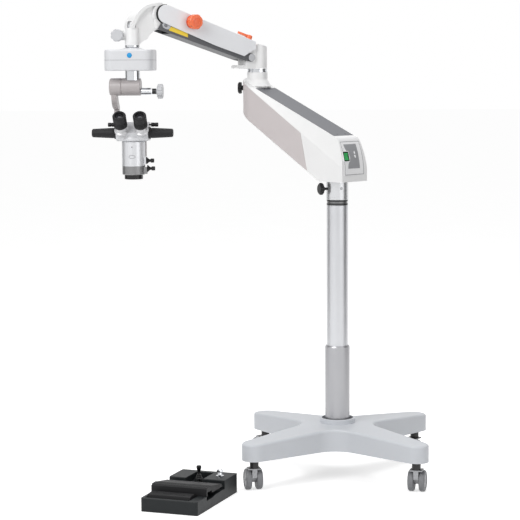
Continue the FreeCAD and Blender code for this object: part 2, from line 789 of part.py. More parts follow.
def on_face(height, side, proud=0.0):
    """A placement on the curved end face: local X looks out of it, local Z runs up it."""
    climb = float(height) - float(size.arm_face_start)
    lean = math.degrees(math.asin(climb / float(size.arm_face_radius)))
    radius = float(size.arm_face_radius) + proud
    centre = -float(size.arm_front) + float(size.arm_face_radius)
    local = FreeCAD.Placement(
        FreeCAD.Vector(centre - radius * math.cos(math.radians(lean)), float(side),
                       float(size.arm_face_start) + radius * math.sin(math.radians(lean))),
        FreeCAD.Rotation(FreeCAD.Vector(0, 0, 1), 180)
        * FreeCAD.Rotation(FreeCAD.Vector(0, 1, 0), -lean))
    return local


def rocker(name, wide, tall, height, side, sag):
    """A rocker or key that turns on the middle of its thickness."""
    half = tall / 2 - size.rocker_play
    piece = Piece(name)
    piece.pad(piece.outline([
        (-3.5, -half + 0.6), (1.2, -half), (2.8 + sag, -half),
        (2.8 - sag, 0 * half, -size.arm_face_radius * 0.4),
        (2.8 + sag, half, -size.arm_face_radius * 0.4),
        (1.2, half), (-3.5, half - 0.6),
    ], "XZ"), wide - size.fit * 2, middle=True)
    piece.keep(lower_arm_place() * on_face(height, side))


def make_lower_arm():
    place = lower_arm_place()
    outer = arm_block("arm_outer", 0 * size.fit)
    inner = arm_block("arm_inner", size.arm_wall)
    socket = rod("arm_socket", size.socket_radius, 170, x=size.arm_reach, z=size.socket_top - 170)
    lip = doc.addObject("Part::Cone", "arm_socket_foot")
    bind(lip, "Radius1", size.socket_radius + 14)
    bind(lip, "Radius2", size.socket_radius)
    lip.Height = 26
    lip.Placement = at(size.arm_reach, 0, roof_line(size.arm_reach) - 12)
    shell = without("arm_shell", outer, inner)
    solid = joined("arm_solid", shell, common("arm_socket_in", socket, joined(
        "arm_reach_zone", outer, rod("arm_above", size.socket_radius, 170, x=size.arm_reach,
                                     z=size.socket_top - 100))), lip)
    bore = rod("arm_bore", size.post_spindle + size.running, 200, x=size.arm_reach,
               z=size.socket_top - size.socket_depth)
    neck = rod("arm_neck_hole", size.hub_collar_neck + size.fit, 20, z=size.arm_low - 8)
    switch_hole = box("switch_hole", 14, size.switch_wide, size.switch_tall,
                      z=0)
    key_hole = box("key_hole", 14, size.key_wide, size.key_tall, z=0)
    for hole, tall, height, side in (
            (switch_hole, size.switch_tall, size.switch_height, size.switch_side),
            (key_hole, size.key_tall, size.key_height, -size.key_side)):
        wide = size.switch_wide if hole is switch_hole else size.key_wide
        hole.Placement = on_face(height, side) * at(-7, -float(wide) / 2, -float(tall) / 2)
    strip_bed = strip_block("strip_bed", size.strip_sheet, size.fit)
    knob_way = rod("socket_knob_way", 5 + size.fit, 70, x=size.arm_reach,
                   z=size.socket_knob_height, along=knob_direction())
    keep(without("arm_housing", solid, bore, neck, switch_hole, key_hole, strip_bed, knob_way),
         "arm_housing", place)

    strip = strip_block("top_strip", size.strip_sheet, 0 * size.fit)
    keep(strip, "top_strip", place)

    wrap_plan = Piece("wrap_plan")
    wrap_plan.pad(wrap_plan.outline(arm_plan(-size.cover_sheet - size.fit),
                                    rise=size.arm_low - 10), size.socket_top)
    wrap_hole = Piece("wrap_hole")
    wrap_hole.pad(wrap_hole.outline(arm_plan(-size.fit), rise=size.arm_low - 12),
                  size.socket_top + 4)
    far = size.arm_end + size.arm_half + 10
    front_low = size.cover_front - size.cover_lean
    meet = (size.arm_roof - size.arm_side) / (
        tangent(size.arm_side_slope) - tangent(size.arm_roof_slope)) - 20
    wrap_side = Piece("wrap_side")
    wrap_side.pad(wrap_side.outline([
        (front_low, floor_line(front_low) + 3),
        (far, floor_line(far) + 3),
        (far, roof_line(far) - 4),
        (meet, shoulder_line(meet) - 2),
        (size.cover_front, shoulder_line(size.cover_front) - 2),
    ], "XZ"), size.arm_half * 3, middle=True)
    foot_way = rod("wrap_socket_foot_way", size.socket_radius + 14 + size.fit, 60,
                   x=size.arm_reach, z=roof_line(size.arm_reach) - 12 - size.fit)
    wrap = without("wrap", common("wrap_outer", wrap_plan, wrap_side), wrap_hole, foot_way)
    notch = rod("wrap_notch", 5 + size.fit, 90, x=size.arm_reach,
                z=size.socket_knob_height, along=knob_direction())
    keep(without("side_cover", wrap, notch), "side_cover", place)

    skin = Piece("panel_skin")
    skin.pad(skin.outline(arm_profile(-size.fit - size.panel_sheet), "XZ"),
             size.arm_half * 3, middle=True)
    bed = Piece("panel_bed")
    bed.pad(bed.outline(arm_profile(-size.fit), "XZ"), size.arm_half * 3 + 4, middle=True)
    patch = box("panel_patch", 60, size.panel_half * 2, 200, x=-size.panel_run - 30,
                y=size.panel_side, z=size.panel_low)
    panel = without("panel_sheet_piece", common("panel_on_face", skin, patch), bed)
    switch_frame = box("switch_frame", 3.2, size.switch_wide + 8, size.switch_tall + 8)
    switch_frame.Placement = on_face(size.switch_height, size.switch_side) * at(
        size.fit, -float(size.switch_wide + 8) / 2, -float(size.switch_tall + 8) / 2)
    framed = joined("panel_framed", panel, switch_frame)
    openings = []
    for name, wide, tall, height, side in (
            ("panel_switch_hole", size.switch_wide, size.switch_tall, size.switch_height,
             size.switch_side),
            ("panel_key_hole", size.key_wide, size.key_tall, size.key_height,
             -size.key_side)):
        hole = box(name, 30, wide, tall)
        hole.Placement = on_face(height, side) * at(-15, -float(wide) / 2, -float(tall) / 2)
        openings.append(hole)
    keep(without("control_panel_cut", framed, *openings), "control_panel", place)

    rocker("power_switch", size.switch_wide, size.switch_tall, size.switch_height,
           size.switch_side, 1.2)
    rocker("brightness_key", size.key_wide, size.key_tall, size.key_height,
           -size.key_side, 0.4)

    collar = Piece("pivot_collar")
    bore_radius = size.spindle_radius + size.running
    rim = size.hub_collar_radius
    low = size.hub_collar_low
    collar.turned([
        (bore_radius, low), (rim - 1, low), (rim, low + 1), (rim, size.arm_low - size.fit),
        (size.hub_collar_neck, size.arm_low - size.fit),
        (size.hub_collar_neck, size.arm_low + size.arm_wall + 2),
        (bore_radius, size.arm_low + size.arm_wall + 2),
    ])
    screw_hole = rod("collar_screw_way", 5 + size.fit, 60, x=0, z=size.knob_height,
                     along=knob_direction(size.collar_knob_swing))
    keep(without("pivot_collar_cut", collar, screw_hole), "pivot_collar", place)
    make_beam(place)

    lamp = Piece("lamp_unit")
    lamp_low = size.spindle_top + 8 + size.fit
    lamp.pad(lamp.outline([
        (-34, -40), (34, -40), (34, 40), (-34, 40),
    ], rise=lamp_low), 46)
    lamp.fillet(4, upright)
    fins = lamp.pocket(lamp.outline([
        (-24, -41), (-22, -41), (-22, 41), (-24, 41),
    ], rise=lamp_low + 46), 8)
    rack = lamp.add("PartDesign::LinearPattern", "fins")
    rack.Originals = [fins]
    rack.Direction = (lamp.role("X_Axis"), [""])
    rack.Length = 44
    rack.Occurrences = 8
    lamp.body.Tip = rack
    lamp.keep(place)

    clamp_knob("collar_knob", size.hub_collar_radius - 17, size.knob_height, 0,
               size.collar_knob_swing)
    clamp_knob("socket_knob", size.post_spindle + 3, size.socket_knob_height,
               size.arm_reach, 0)


def knob_direction(swing=0):
    """The clamp knobs look to world -X, plus a swing; this is that way in arm terms."""
    turn = math.radians(180 + float(swing) - float(size.arm_turn))
    return (math.cos(turn), math.sin(turn), 0)


def clamp_knob(name, start, height, run, swing):
    """A black knob with eight lobes on a screw. It looks along local Z before placing."""
    knob = Piece(name)
    reach = 37
    face = start + reach
    back = face - 8
    knob.turned([
        (0, 0 * start), (4, 0 * start), (4.8, 1), (4.8, back - start), (9, back - start),
        (9, back - start + 6),
        (size.knob_radius - 2, back - start + 6), (size.knob_radius, back - start + 8),
        (size.knob_radius, back - start + size.knob_thick - 4),
        (size.knob_radius - 5, back - start + size.knob_thick), (0, back - start + size.knob_thick),
    ])
    flute = knob.pocket(knob.circles([(size.knob_radius + 3, 0, 6)],
                                     rise=back - start + size.knob_thick + 1),
                        size.knob_thick - 3)
    knob.around(flute, 8)
    ahead = FreeCAD.Vector(*knob_direction(swing))
    local = FreeCAD.Placement(
        FreeCAD.Vector(float(run), 0, float(height)) + ahead * float(start),
        FreeCAD.Rotation(FreeCAD.Vector(0, 0, 1), ahead))
    knob.keep(lower_arm_place() * local)


def strip_block(name, thick, slack):
    """The dark strip that lies in a shallow bed in the roof."""
    strip = Piece(name)
    front = -size.strip_start - slack
    rear = size.strip_end + slack
    drop = thick / cosine(size.arm_roof_slope)
    strip.pad(strip.outline([
        (front, roof_line(front) - drop - slack), (rear, roof_line(rear) - drop - slack),
        (rear, roof_line(rear) + slack), (front, roof_line(front) + slack),
    ], "XZ"), size.strip_half * 2 + slack * 2, middle=True)
    return strip.body


def make_beam(place):
    """The cast beam that carries the load from the collar to the post socket."""
    floor = size.arm_low + size.arm_wall + 2 + size.fit
    hub_high = size.spindle_top + 4
    end = size.arm_reach - size.socket_radius - size.fit
    beam = Piece("housing_beam")
    beam.pad(beam.circles([(0, 0, size.spindle_radius + 7)], rise=floor), hub_high - floor)
    beam.pad(beam.circles([(0, 0, size.spindle_radius + 12)], rise=floor + 4),
             hub_high - floor - 4)
    start = size.spindle_radius + 6
    lift = size.arm_wall + 3
    beam.pad(beam.outline([
        (start, floor_line(start + 20) + lift), (end, floor_line(end) + lift + 8),
        (end, roof_line(end) - 40), (start, hub_high),
    ], "XZ"), size.beam_half * 2, middle=True)
    middle = (start + end) / 2
    quarter = (end - start) / 4
    windows = []
    for centre in (middle - quarter * 1.05, middle + quarter * 0.1, middle + quarter * 1.15):
        low = floor_line(centre) + lift + 22
        high = low + 30
        windows.append((centre, (low + high) / 2, 15))
    beam.pocket(beam.circles(windows, "XZ"), size.beam_half * 3, middle=True)
    beam.pocket(beam.circles([(0, 0, size.spindle_radius + size.running)], rise=hub_high),
                hub_high - floor)
    cap = beam.outline([
        (end - 14, -size.beam_half), (end, -size.beam_half), (end, size.beam_half),
        (end - 14, size.beam_half),
    ], rise=floor_line(end) + lift + 8)
    beam.pad(cap, roof_line(end) - 40 - floor_line(end) - lift - 8)
    beam.keep(place)


# The post and the balance arm. Their frame has X along the arm and Y to the near side.


def post_place(direction=None):
    arm = math.radians(float(size.arm_turn))
    reach = float(size.arm_reach)
    turn = size.lift_turn if direction is None else direction
    return at(reach * math.cos(arm), reach * math.sin(arm), 0, turn=turn)


def pivots():
    """The four pivots of the parallelogram as (run, height)."""
    rear_low = (size.pivot_run, size.link_pivot)
    rear_high = (size.pivot_run, size.link_pivot + size.pivot_rise)
    front_low = (size.pivot_run + size.link_run, size.link_pivot + size.link_climb)
    front_high = (size.pivot_run + size.link_run,
                  size.link_pivot + size.link_climb + size.pivot_rise)
    return rear_low, rear_high, front_low, front_high


def make_post():
    place = post_place()
    rear_low, rear_high, _, _ = pivots()
    ring_low = size.socket_top + size.fit
    body_low = ring_low + size.post_ring
    post_top = size.link_pivot + size.pivot_rise + 22
    post = Piece("swivel_post")
    rim = size.post_radius
    post.turned([
        (0, size.socket_top - size.socket_depth + size.fit),
        (size.post_spindle, size.socket_top - size.socket_depth + size.fit),
        (size.post_spindle, ring_low), (rim, ring_low), (rim, ring_low + 4),
        (rim - 1.5, ring_low + 5), (rim - 1.5, body_low - 4), (rim, body_low - 3),
        (rim, body_low), (rim - 1, body_low + 1), (rim - 1, post_top), (0, post_top),
    ])
    lug_front = rear_low[0] + 20
    post.pad(post.outline([
        (0, body_low), (lug_front - 6, body_low), (lug_front, body_low + 6, 6),
        (lug_front, rear_high[1]), (rear_high[0] + 6, rear_high[1] + 15, 16),
        (0, rear_high[1] + 15),
    ], "XZ"), size.lug_half * 2, middle=True)
    post.pad(post.outline([
        (lug_front - 2, body_low + 1), (lug_front + 32, body_low + 1),
        (lug_front + 36, body_low + 6, 6), (lug_front + 30, body_low + 13, 8),
        (lug_front - 2, body_low + 13),
    ], "XZ"), 34, middle=True)
    slope = post.outline([
        (-rim - 2, post_top - 26), (rim + 40, post_top + 4),
        (rim + 40, post_top + 40), (-rim - 2, post_top + 40),
    ], "XZ")
    post.pocket(slope, size.lug_half * 4, middle=True)
    cover_room = post.outline([
        (rear_high[0] - 36, rear_high[1] + 16), (rear_high[0] - 24, rear_high[1] + 1.5),
        (rear_high[0] - 9, rear_high[1] + 15.5), (rear_high[0] - 9, rear_high[1] + 40),
        (rear_high[0] - 36, rear_high[1] + 40),
    ], "XZ")
    post.pocket(cover_room, size.lug_half * 4, middle=True)
    slot_back = rear_high[0] - 21
    post.pocket(post.outline([
        (slot_back, rear_low[1] + 16), (lug_front + 2, rear_low[1] + 16),
        (lug_front + 2, post_top + 10), (slot_back - 14, post_top + 10),
    ], "XZ"), size.slot_half * 2, middle=True)
    post.pocket(post.circles(
        [(rear_low[0], rear_low[1], size.pin_radius + size.running)], "XZ"),
        size.lug_half * 4, middle=True)
    upper_pin = Piece("rear_pin_upper")
    upper_pin.pad(upper_pin.circles([(rear_high[0], rear_high[1], size.pin_radius)], "XZ"),
                  size.lug_half * 2, middle=True)
    keep(joined("post_pinned", post, upper_pin), "swivel_post", place)

    lower_pin = Piece("rear_pin_lower")
    lower_pin.pad(lower_pin.circles([(rear_low[0], rear_low[1], size.pin_radius)], "XZ"),
                  size.plate_out * 2 + 1, middle=True)
    heads = []
    for side in (-1, 1):
        head = rod(f"pin_head_{side + 1}", 14, 3, x=rear_low[0],
                   y=side * (size.plate_out + size.fit), z=rear_low[1], along=(0, side, 0))
        heads.append(head)
    keep(joined("lower_pin_headed", lower_pin, *heads), "link_pin", place)


def arm_direction():
    """Length and slope of the balance arm between its pivots."""
    length = root(size.link_run * size.link_run + size.link_climb * size.link_climb)
    slope = math.degrees(math.atan2(float(size.link_climb), float(size.link_run)))
    return length, slope


def make_balance_arm():
    place = post_place()
    rear_low, rear_high, front_low, front_high = pivots()
    length, slope = arm_direction()
    roof_rise = 0.35

    def cover_outline(inset, rear):
        nose = size.nose_radius - inset
        return [
            (rear_high[0] - 16 + rear, rear_high[1] - 8),
            (rear_low[0] + 2, rear_low[1] + 24),
            (rear_low[0] + 35, rear_low[1] + 5),
            (rear_low[0] + 153, rear_low[1] + 42),
            (front_high[0] + nose * 0.35, front_high[1] - nose * 0.937),
            (front_high[0] + nose, front_high[1] + 0 * nose, nose),
            (front_high[0] - nose * 0.33, front_high[1] + nose * 0.944, nose),
            (rear_high[0] - 16 + rear + inset * 0.33,
             rear_high[1] + 18 + roof_rise * rear - inset * 0.944),
        ]

    block = Piece("cover_block")
    block.pad(block.outline(cover_outline(0 * size.fit, 0), "XZ"), size.shell_out * 2,
              middle=True)

    def rim_edge(edge):
        box = edge.BoundBox
        outer = abs(abs(box.YMin) - float(size.shell_out)) < 1e-3
        middle = edge.valueAt((edge.FirstParameter + edge.LastParameter) / 2)
        chord = rear_high[1] + (middle.x - rear_high[0]) * math.tan(math.radians(slope))
        return outer and box.YLength < 1e-3 and middle.z > float(chord)

    block.fillet(2.2, rim_edge)
    hollow = Piece("cover_core")
    core_points = cover_outline(size.shell_out - size.shell_in + 0.5, -20)
    hollow.pad(hollow.outline(core_points, "XZ"), size.shell_in * 2, middle=True)
    under = Piece("cover_under")
    under.pad(under.outline([
        (rear_low[0] - 60, rear_low[1] - 60),
        (front_high[0] + 60, front_high[1] - 60),
        (front_high[0] + 60, front_high[1] - 12),
        (front_high[0] + 10, front_high[1] - 12),
        (rear_low[0] + 153, rear_low[1] + 60),
        (rear_low[0] + 2, rear_low[1] + 30),
        (rear_low[0] - 60, rear_low[1] + 30),
    ], "XZ"), size.shell_in * 2, middle=True)
    fork = Piece("cover_fork")
    fork.pad(fork.outline([
        (front_high[0] - 8, front_high[1] - 45), (front_high[0] + 45, front_high[1] - 45),
        (front_high[0] + 45, front_high[1] + 28), (front_high[0] + 13, front_high[1] + 28),
        (front_high[0] + 4, front_high[1] + 12), (front_high[0] - 8, front_high[1] - 12),
    ], "XZ"), (size.lug_half + 1.5) * 2, middle=True)
    knob_base = (front_high[0] - 102, front_high[1] - 27)
    boss = rod("lock_boss", 15, 9, x=knob_base[0], y=size.shell_in - 9 + 2,
               z=knob_base[1], along=(0, 1, 0))
    screw_way = rod("lock_way", 5 + size.fit, 40, x=knob_base[0], y=16, z=knob_base[1],
                    along=(0, 1, 0))
    lever_way = rod("lever_way", 7, 40, x=rear_high[0] - 18 + 12,
                    z=rear_high[1] + 8)
    shell = without("cover_hollowed", block, joined("cover_voids", hollow, under, fork))
    rests = []
    for number, share in enumerate((0.24, 0.5, 0.74)):
        run = rear_high[0] + size.link_run * share
        height = rear_high[1] + size.link_climb * share
        wall = box(f"cover_rib_{number}", 5, size.shell_in * 2, 12, x=run,
                   z=height + size.beam_radius * 1.1 + 1.6)
        rests.append(wall)
    ribs = common("cover_ribs", joined("cover_rib_set", *rests), block)
    keep(without("arm_cover_cut", joined("arm_cover_all", shell, boss, ribs),
                 screw_way, lever_way), "arm_cover", place)

    tube = Piece("spring_tube")
    eye = size.beam_radius
    tube.turned([
        (11, 26), (eye, 26), (eye, length - 26), (11, length - 26),
    ])
    tube_place = place * at(rear_high[0], 0, rear_high[1], lean=((0, 1, 0), 90 - slope))
    ends = []
    for name, start in (("rear", 0.0), ("front", length)):
        end = Piece(f"tube_end_{name}")
        mirror = 1 if name == "rear" else -1
        end.pad(end.circles([(0, start, eye - 0.4)], "XZ"), eye * 2 - 3, middle=True)
        end.pad(end.outline([
            (-9, start), (9, start), (9, start + mirror * 27), (-9, start + mirror * 27),
        ], "XZ"), eye * 2 - 9, middle=True)
        plug = end.circles([(0, 0, 12)], rise=start + mirror * 20)
        end.pad(plug, 7, back=(mirror == -1))
        end.pocket(end.circles([(0, start, size.pin_radius + size.running)], "XZ"),
                   eye * 3, middle=True)
        ends.append(end)
    keep(joined("spring_tube_all", tube, *ends), "spring_tube", tube_place)

    spring = Piece("balance_spring")
    coils = 14
    pitch = (length - 70) / coils
    points = [(5, 36)]
    for turn in range(coils):
        low = 36 + pitch * turn
        points += [(8.2, low), (10.4, low + pitch * 0.25), (10.4, low + pitch * 0.6),
                   (8.2, low + pitch * 0.85)]
    points += [(8.2, 36 + pitch * coils), (5, 36 + pitch * coils)]
    spring.turned(points)
    spring.keep(tube_place)

    knob = Piece("lock_knob")
    knob.turned([
        (0, 0), (4, 0), (4.8, 1), (4.8, 20), (20, 20.4), (22.5, 22), (22.5, 27), (19, 29),
        (19, 34), (26, 36), (27, 38), (27, 54), (24.5, 57), (0, 57),
    ])
    flute = knob.pocket(knob.circles([(31, 0, 7)], rise=58), 22)
    knob.around(flute, 8)
    knob.keep(place * at(knob_base[0], size.shell_out - 19.7, knob_base[1],
                         lean=((1, 0, 0), -90)))

    lever = Piece("balance_lever")
    lever.turned([(0, -5), (4.8, -5), (4.8, 0.4), (11, 0.4), (12, 2), (12, 19), (10, 21),
                  (0, 21)])
    lever.pad(lever.outline([
        (0, -7), (30, -6), (47, -4), (51, 0, 5), (47, 4, 5), (30, 6), (0, 7),
    ], rise=11), 8)
    lever_run = rear_high[0] - 6
    roof = math.degrees(math.atan(roof_rise))
    lever_z = rear_high[1] + 18 + (16 - 6) * roof_rise
    lever.keep(place * at(lever_run, 0, lever_z + 0.4, lean=((0, 1, 0), -roof)))
    make_link(place, rear_low, front_low)


def make_link(place, rear_low, front_low):
    """The lower link: two side plates and a tray under them."""
    link = Piece("lower_link")
    climb = size.link_climb / size.link_run
    floor_end = front_low[0] - 22
    nose = front_low[0] + 31
    link.pad(link.outline([
        (rear_low[0] + 36, rear_low[1] + 36 * climb - 20),
        (nose, front_low[1] + 31 * climb - 23),
        (front_low[0] + 17, front_low[1] + 8),
        (front_low[0] - 4, front_low[1] + 17.5, 18),
        (rear_low[0] + 60, rear_low[1] + 60 * climb + 7),
        (rear_low[0], rear_low[1] + 15),
        (rear_low[0] - 15, rear_low[1], 15),
        (rear_low[0], rear_low[1] - 15, 15),
    ], "XZ"), size.plate_out * 2, middle=True)
    link.pocket(link.outline([
        (rear_low[0] - 40, rear_low[1] - 60),
        (rear_low[0] + 40, rear_low[1] - 60),
        (rear_low[0] + 40, rear_low[1] + 40 * climb - 17),
        (floor_end, front_low[1] - 22 * climb - 19.5),
        (floor_end, front_low[1] - 70),
        (nose + 10, front_low[1] - 70),
        (nose + 10, front_low[1] + 80),
        (rear_low[0] - 40, rear_low[1] + 80),
    ], "XZ"), size.plate_in * 2, middle=True)
    for run, height in (rear_low, front_low):
        link.pocket(link.circles([(run, height, size.pin_radius + size.fit)], "XZ"),
                    size.plate_out * 4, middle=True)
    link.keep(place)


def make_head_bracket():
    """The curved casting that keeps the head upright and holds its spindle."""
    place = post_place()
    _, _, front_low, front_high = pivots()
    gap = size.nose_radius + size.nose_gap
    head = size.head_run
    top = front_high[1] + gap
    web = Piece("bracket_web")
    web.pad(web.outline([
        (head - size.head_sleeve + 6, size.sleeve_low),
        (head - size.head_sleeve + 3, size.sleeve_low + 5),
        (front_low[0] + 64, front_low[1] - 48, 90),
        (front_low[0] + 28, front_low[1] - 16, 60),
        (front_high[0] + gap * 0.94, front_high[1] - gap * 0.342),
        (front_high[0] + gap * 0.17, front_high[1] + gap * 0.985, gap),
        (front_high[0] + 10, top + 4),
        (front_high[0] + 44, top + 1.5, -140),
        (head + 6, size.sleeve_high + 28, -95),
        (head + 14, size.sleeve_high - 2, -40),
        (head + 14, size.sleeve_low),
    ], "XZ"), 34, middle=True)
    rim = Piece("bracket_rim")
    rim.pad(rim.outline([
        (front_high[0] + gap * 0.17, front_high[1] + gap * 0.985),
        (front_high[0] + 10, top + 4),
        (front_high[0] + 44, top + 1.5, -140),
        (head + 6, size.sleeve_high + 28, -95),
        (head + 14, size.sleeve_high - 2, -40),
        (head + 4, size.sleeve_high - 2),
        (head - 4, size.sleeve_high + 22, 34),
        (front_high[0] + 44, top - 8, 88),
        (front_high[0] + gap * 0.62, front_high[1] + gap * 0.785, 130),
    ], "XZ"), 60, middle=True)
    knuckle = Piece("bracket_knuckle")
    knuckle.pad(knuckle.outline([
        (front_high[0] + gap * 0.62, front_high[1] + gap * 0.785),
        (front_high[0] + gap * 0.94, front_high[1] - gap * 0.342, -gap),
        (front_high[0] + gap * 0.94 + 9, front_high[1] - gap * 0.342 - 4),
        (front_high[0] + gap * 0.62 + 10, front_high[1] + gap * 0.785 + 4, gap + 12),
    ], "XZ"), 60, middle=True)
    lugs = Piece("bracket_lugs")
    lugs.pad(lugs.outline([
        (front_low[0] + 30, front_low[1] - 10),
        (front_high[0] + gap + 6, front_high[1] - 6),
        (front_high[0] + gap + 2, front_high[1] + 12),
        (front_high[0], front_high[1] + 14),
        (front_high[0] - 14, front_high[1], 14),
        (front_low[0] - 14, front_low[1]),
        (front_low[0], front_low[1] - 14, 14),
    ], "XZ"), size.lug_half * 2, middle=True)
    slot = box("bracket_slot", 60, size.slot_half * 2, 52, x=front_high[0] - 12,
               z=front_high[1] - 20)
    low_slot = box("bracket_slot_low", 44, size.slot_half * 2, 32, x=front_high[0] - 20,
                   z=front_high[1] - 50)
    sleeve = rod("bracket_sleeve", size.head_sleeve, size.sleeve_high - size.sleeve_low,
                 x=head, z=size.sleeve_low)
    ear_turn = 180 - float(size.lift_turn)
    ear_x = math.cos(math.radians(ear_turn))
    ear_y = math.sin(math.radians(ear_turn))
    ear = box("bracket_ear", 40, 26, 34, x=float(head) + ear_x * 40, y=ear_y * 40,
              z=size.ear_height - 17, turn=ear_turn)
    slit = box("bracket_slit", 60, 3, 80, x=float(head) + ear_x * 44, y=ear_y * 44,
               z=size.sleeve_low - 5, turn=ear_turn)
    bore = rod("bracket_bore", size.head_spindle + size.running, 90, x=head,
               z=size.sleeve_low - 5)
    nut_room = rod("bracket_nut_room", size.head_spindle + 1.5 + size.fit, 24, x=head,
                   z=size.sleeve_high)
    across_ear = (-ear_y, ear_x, 0)
    start_x = float(head) + ear_x * float(size.ear_reach) - across_ear[0] * 20
    start_y = ear_y * float(size.ear_reach) - across_ear[1] * 20
    screw_way = rod("bracket_screw_way", 4.8 + float(size.fit), 40, x=start_x, y=start_y,
                    z=size.ear_height, along=across_ear)
    pins = []
    upper = Piece("front_pin_upper")
    upper.pad(upper.circles([(front_high[0], front_high[1], size.pin_radius)], "XZ"),
              size.lug_half * 2, middle=True)
    lower = Piece("front_pin_lower")
    lower.pad(lower.circles([(front_low[0], front_low[1], size.pin_radius)], "XZ"),
              size.plate_out * 2 + 2, middle=True)
    pins = [upper, lower]
    solid = without("bracket_cut", joined("bracket_all", web, rim, knuckle, lugs, sleeve, ear),
                    slot, low_slot, slit, bore, nut_room, screw_way)
    keep(joined("head_bracket_pinned", solid, *pins), "head_bracket", place)

    knob = Piece("head_clamp_knob")
    knob.turned([
        (0, -14), (4, -14), (4.8, -13), (4.8, 13.6), (10, 13.6), (10, 17), (20, 18),
        (22.5, 20), (22.5, 31), (19, 34), (0, 34),
    ])
    flute = knob.pocket(knob.circles([(26, 0, 6)], rise=35), 16)
    knob.around(flute, 8)
    head_x, head_y = head_centre()
    knob.keep(at(head_x - float(size.ear_reach), head_y, size.ear_height,
                 lean=((1, 0, 0), 90)))


# The head. Its frame has its origin on the floor under the head axis, X to the right.


def head_centre():
    post = post_place()
    centre = post.multVec(FreeCAD.Vector(float(size.head_run), 0, 0))
    return centre.x, centre.y


def head_place():
    x, y = head_centre()
    return at(x, y, 0)


def rounded_box(half_x, half_y, radius, shift=0):
    """Plan of a box with round corners, moved to the left by a shift."""
    right = half_x - shift
    left = -half_x - shift
    return [
        (right - radius, -half_y), (right, -half_y + radius, radius),
        (right, half_y - radius), (right - radius, half_y, radius),
        (left + radius, half_y), (left, half_y - radius, radius),
        (left, -half_y + radius), (left + radius, -half_y, radius),
    ]


def make_positioner():
    place = head_place()
    spindle = Piece("spindle_core")
    neck = size.sleeve_low - size.fit
    flange_low = size.box_high + 6
    nut_low = size.sleeve_high + size.fit
    spindle.turned([
        (0, size.box_high - 20), (size.head_spindle + 6, size.box_high - 20),
        (size.head_spindle + 6, flange_low), (size.head_sleeve - 1, flange_low + 1),
        (size.head_sleeve, flange_low + 3), (size.head_sleeve, neck),
        (size.head_spindle, neck), (size.head_spindle, nut_low + 2),
        (size.head_spindle + 1.5, nut_low + 2), (size.head_spindle + 1.5, nut_low + 9),
        (size.head_spindle - 2, nut_low + 11), (size.head_spindle - 4, nut_low + 17),
        (0, nut_low + 17),
    ])
    upper = Piece("upper_block")
    plan = rounded_box(size.box_half_x, size.box_half_y, size.box_round, size.box_shift)
    upper.pad(upper.outline(plan, rise=size.box_seam), size.box_high - size.box_seam)
    upper.fillet(7, level(size.box_high))
    upper.turned([
        (0, size.box_high - 4), (52, size.box_high - 4), (47, size.box_high + 0.5),
        (size.head_sleeve + 3, flange_low - size.fit, -60), (0, flange_low - size.fit),
    ])
    wall = size.box_wall
    cavity = rounded_box(size.box_half_x - wall, size.box_half_y - wall,
                         size.box_round - wall, size.box_shift)
    hollow = upper.outline(cavity, rise=size.box_seam)
    upper.pocket(hollow, size.box_high - size.box_seam - wall, back=True)
    upper.pad(upper.circles([(0, 0, 40)], rise=size.box_seam),
              size.box_high - size.box_seam - wall + 1)
    rail_low = size.box_seam - 9
    rails = rounded_box(size.box_half_x - 12, 62 + 0 * wall, 8 + 0 * wall, size.box_shift)
    upper.pad(upper.outline(rails, rise=rail_low), 12)
    upper.pocket(upper.circles([(0, size.button_height, size.button_radius + size.fit)],
                               "XZ", size.box_half_y + 5), 16, back=False)
    keep(joined("positioner_top_all", upper, spindle), "positioner_top", place)

    lower = Piece("positioner_base")
    lower.pad(lower.outline(plan, rise=size.box_low), size.box_seam - size.fit - size.box_low)
    lower.fillet(5, level(size.box_low))
    inside = lower.outline(cavity, rise=size.box_low + wall)
    lower.pocket(inside, size.box_seam - size.box_low, back=True)
    window = size.shaft_radius + size.travel + 3
    lower.pocket(lower.outline(rounded_box(window, window, 12 + 0 * wall),
                               rise=size.box_low - 1), wall + 3, back=True)
    lower.keep(place)

    button = Piece("blue_button")
    button.turned([
        (0, 0), (size.button_radius - 1, 0), (size.button_radius, 1), (size.button_radius, 7.5),
        (size.button_radius - 2, 9), (0, 9.6),
    ])
    button.keep(place * at(0, -size.box_half_y + 8, size.button_height,
                           lean=((1, 0, 0), 90)))

    rail = rail_low - size.fit
    cross = Piece("x_carriage")
    cross.pad(cross.outline(rounded_box(47 + 0 * wall, 46 + 0 * wall, 5 + 0 * wall),
                            rise=rail - 9), 9)
    for side in (-1, 1):
        groove = cross.outline([
            (-48, side * 30 - 4), (48, side * 30 - 4), (48, side * 30 + 4), (-48, side * 30 + 4),
        ], rise=rail)
        cross.pocket(groove, 2.5)
    cross.keep(place)

    drop = Piece("drop_shaft")
    plate_high = rail - 9 - size.fit
    plate_low = size.box_low + wall + size.fit
    drop.pad(drop.outline(rounded_box(42 + 0 * wall, 42 + 0 * wall, 5 + 0 * wall),
                          rise=plate_low), plate_high - plate_low)
    shaft_low = size.tilt_height + size.barrel_radius - 9
    drop.pad(drop.circles([(0, 0, size.shaft_radius)], rise=shaft_low),
             plate_high - shaft_low)
    drop.chamfer(1.5, level(shaft_low))
    drop.keep(place)


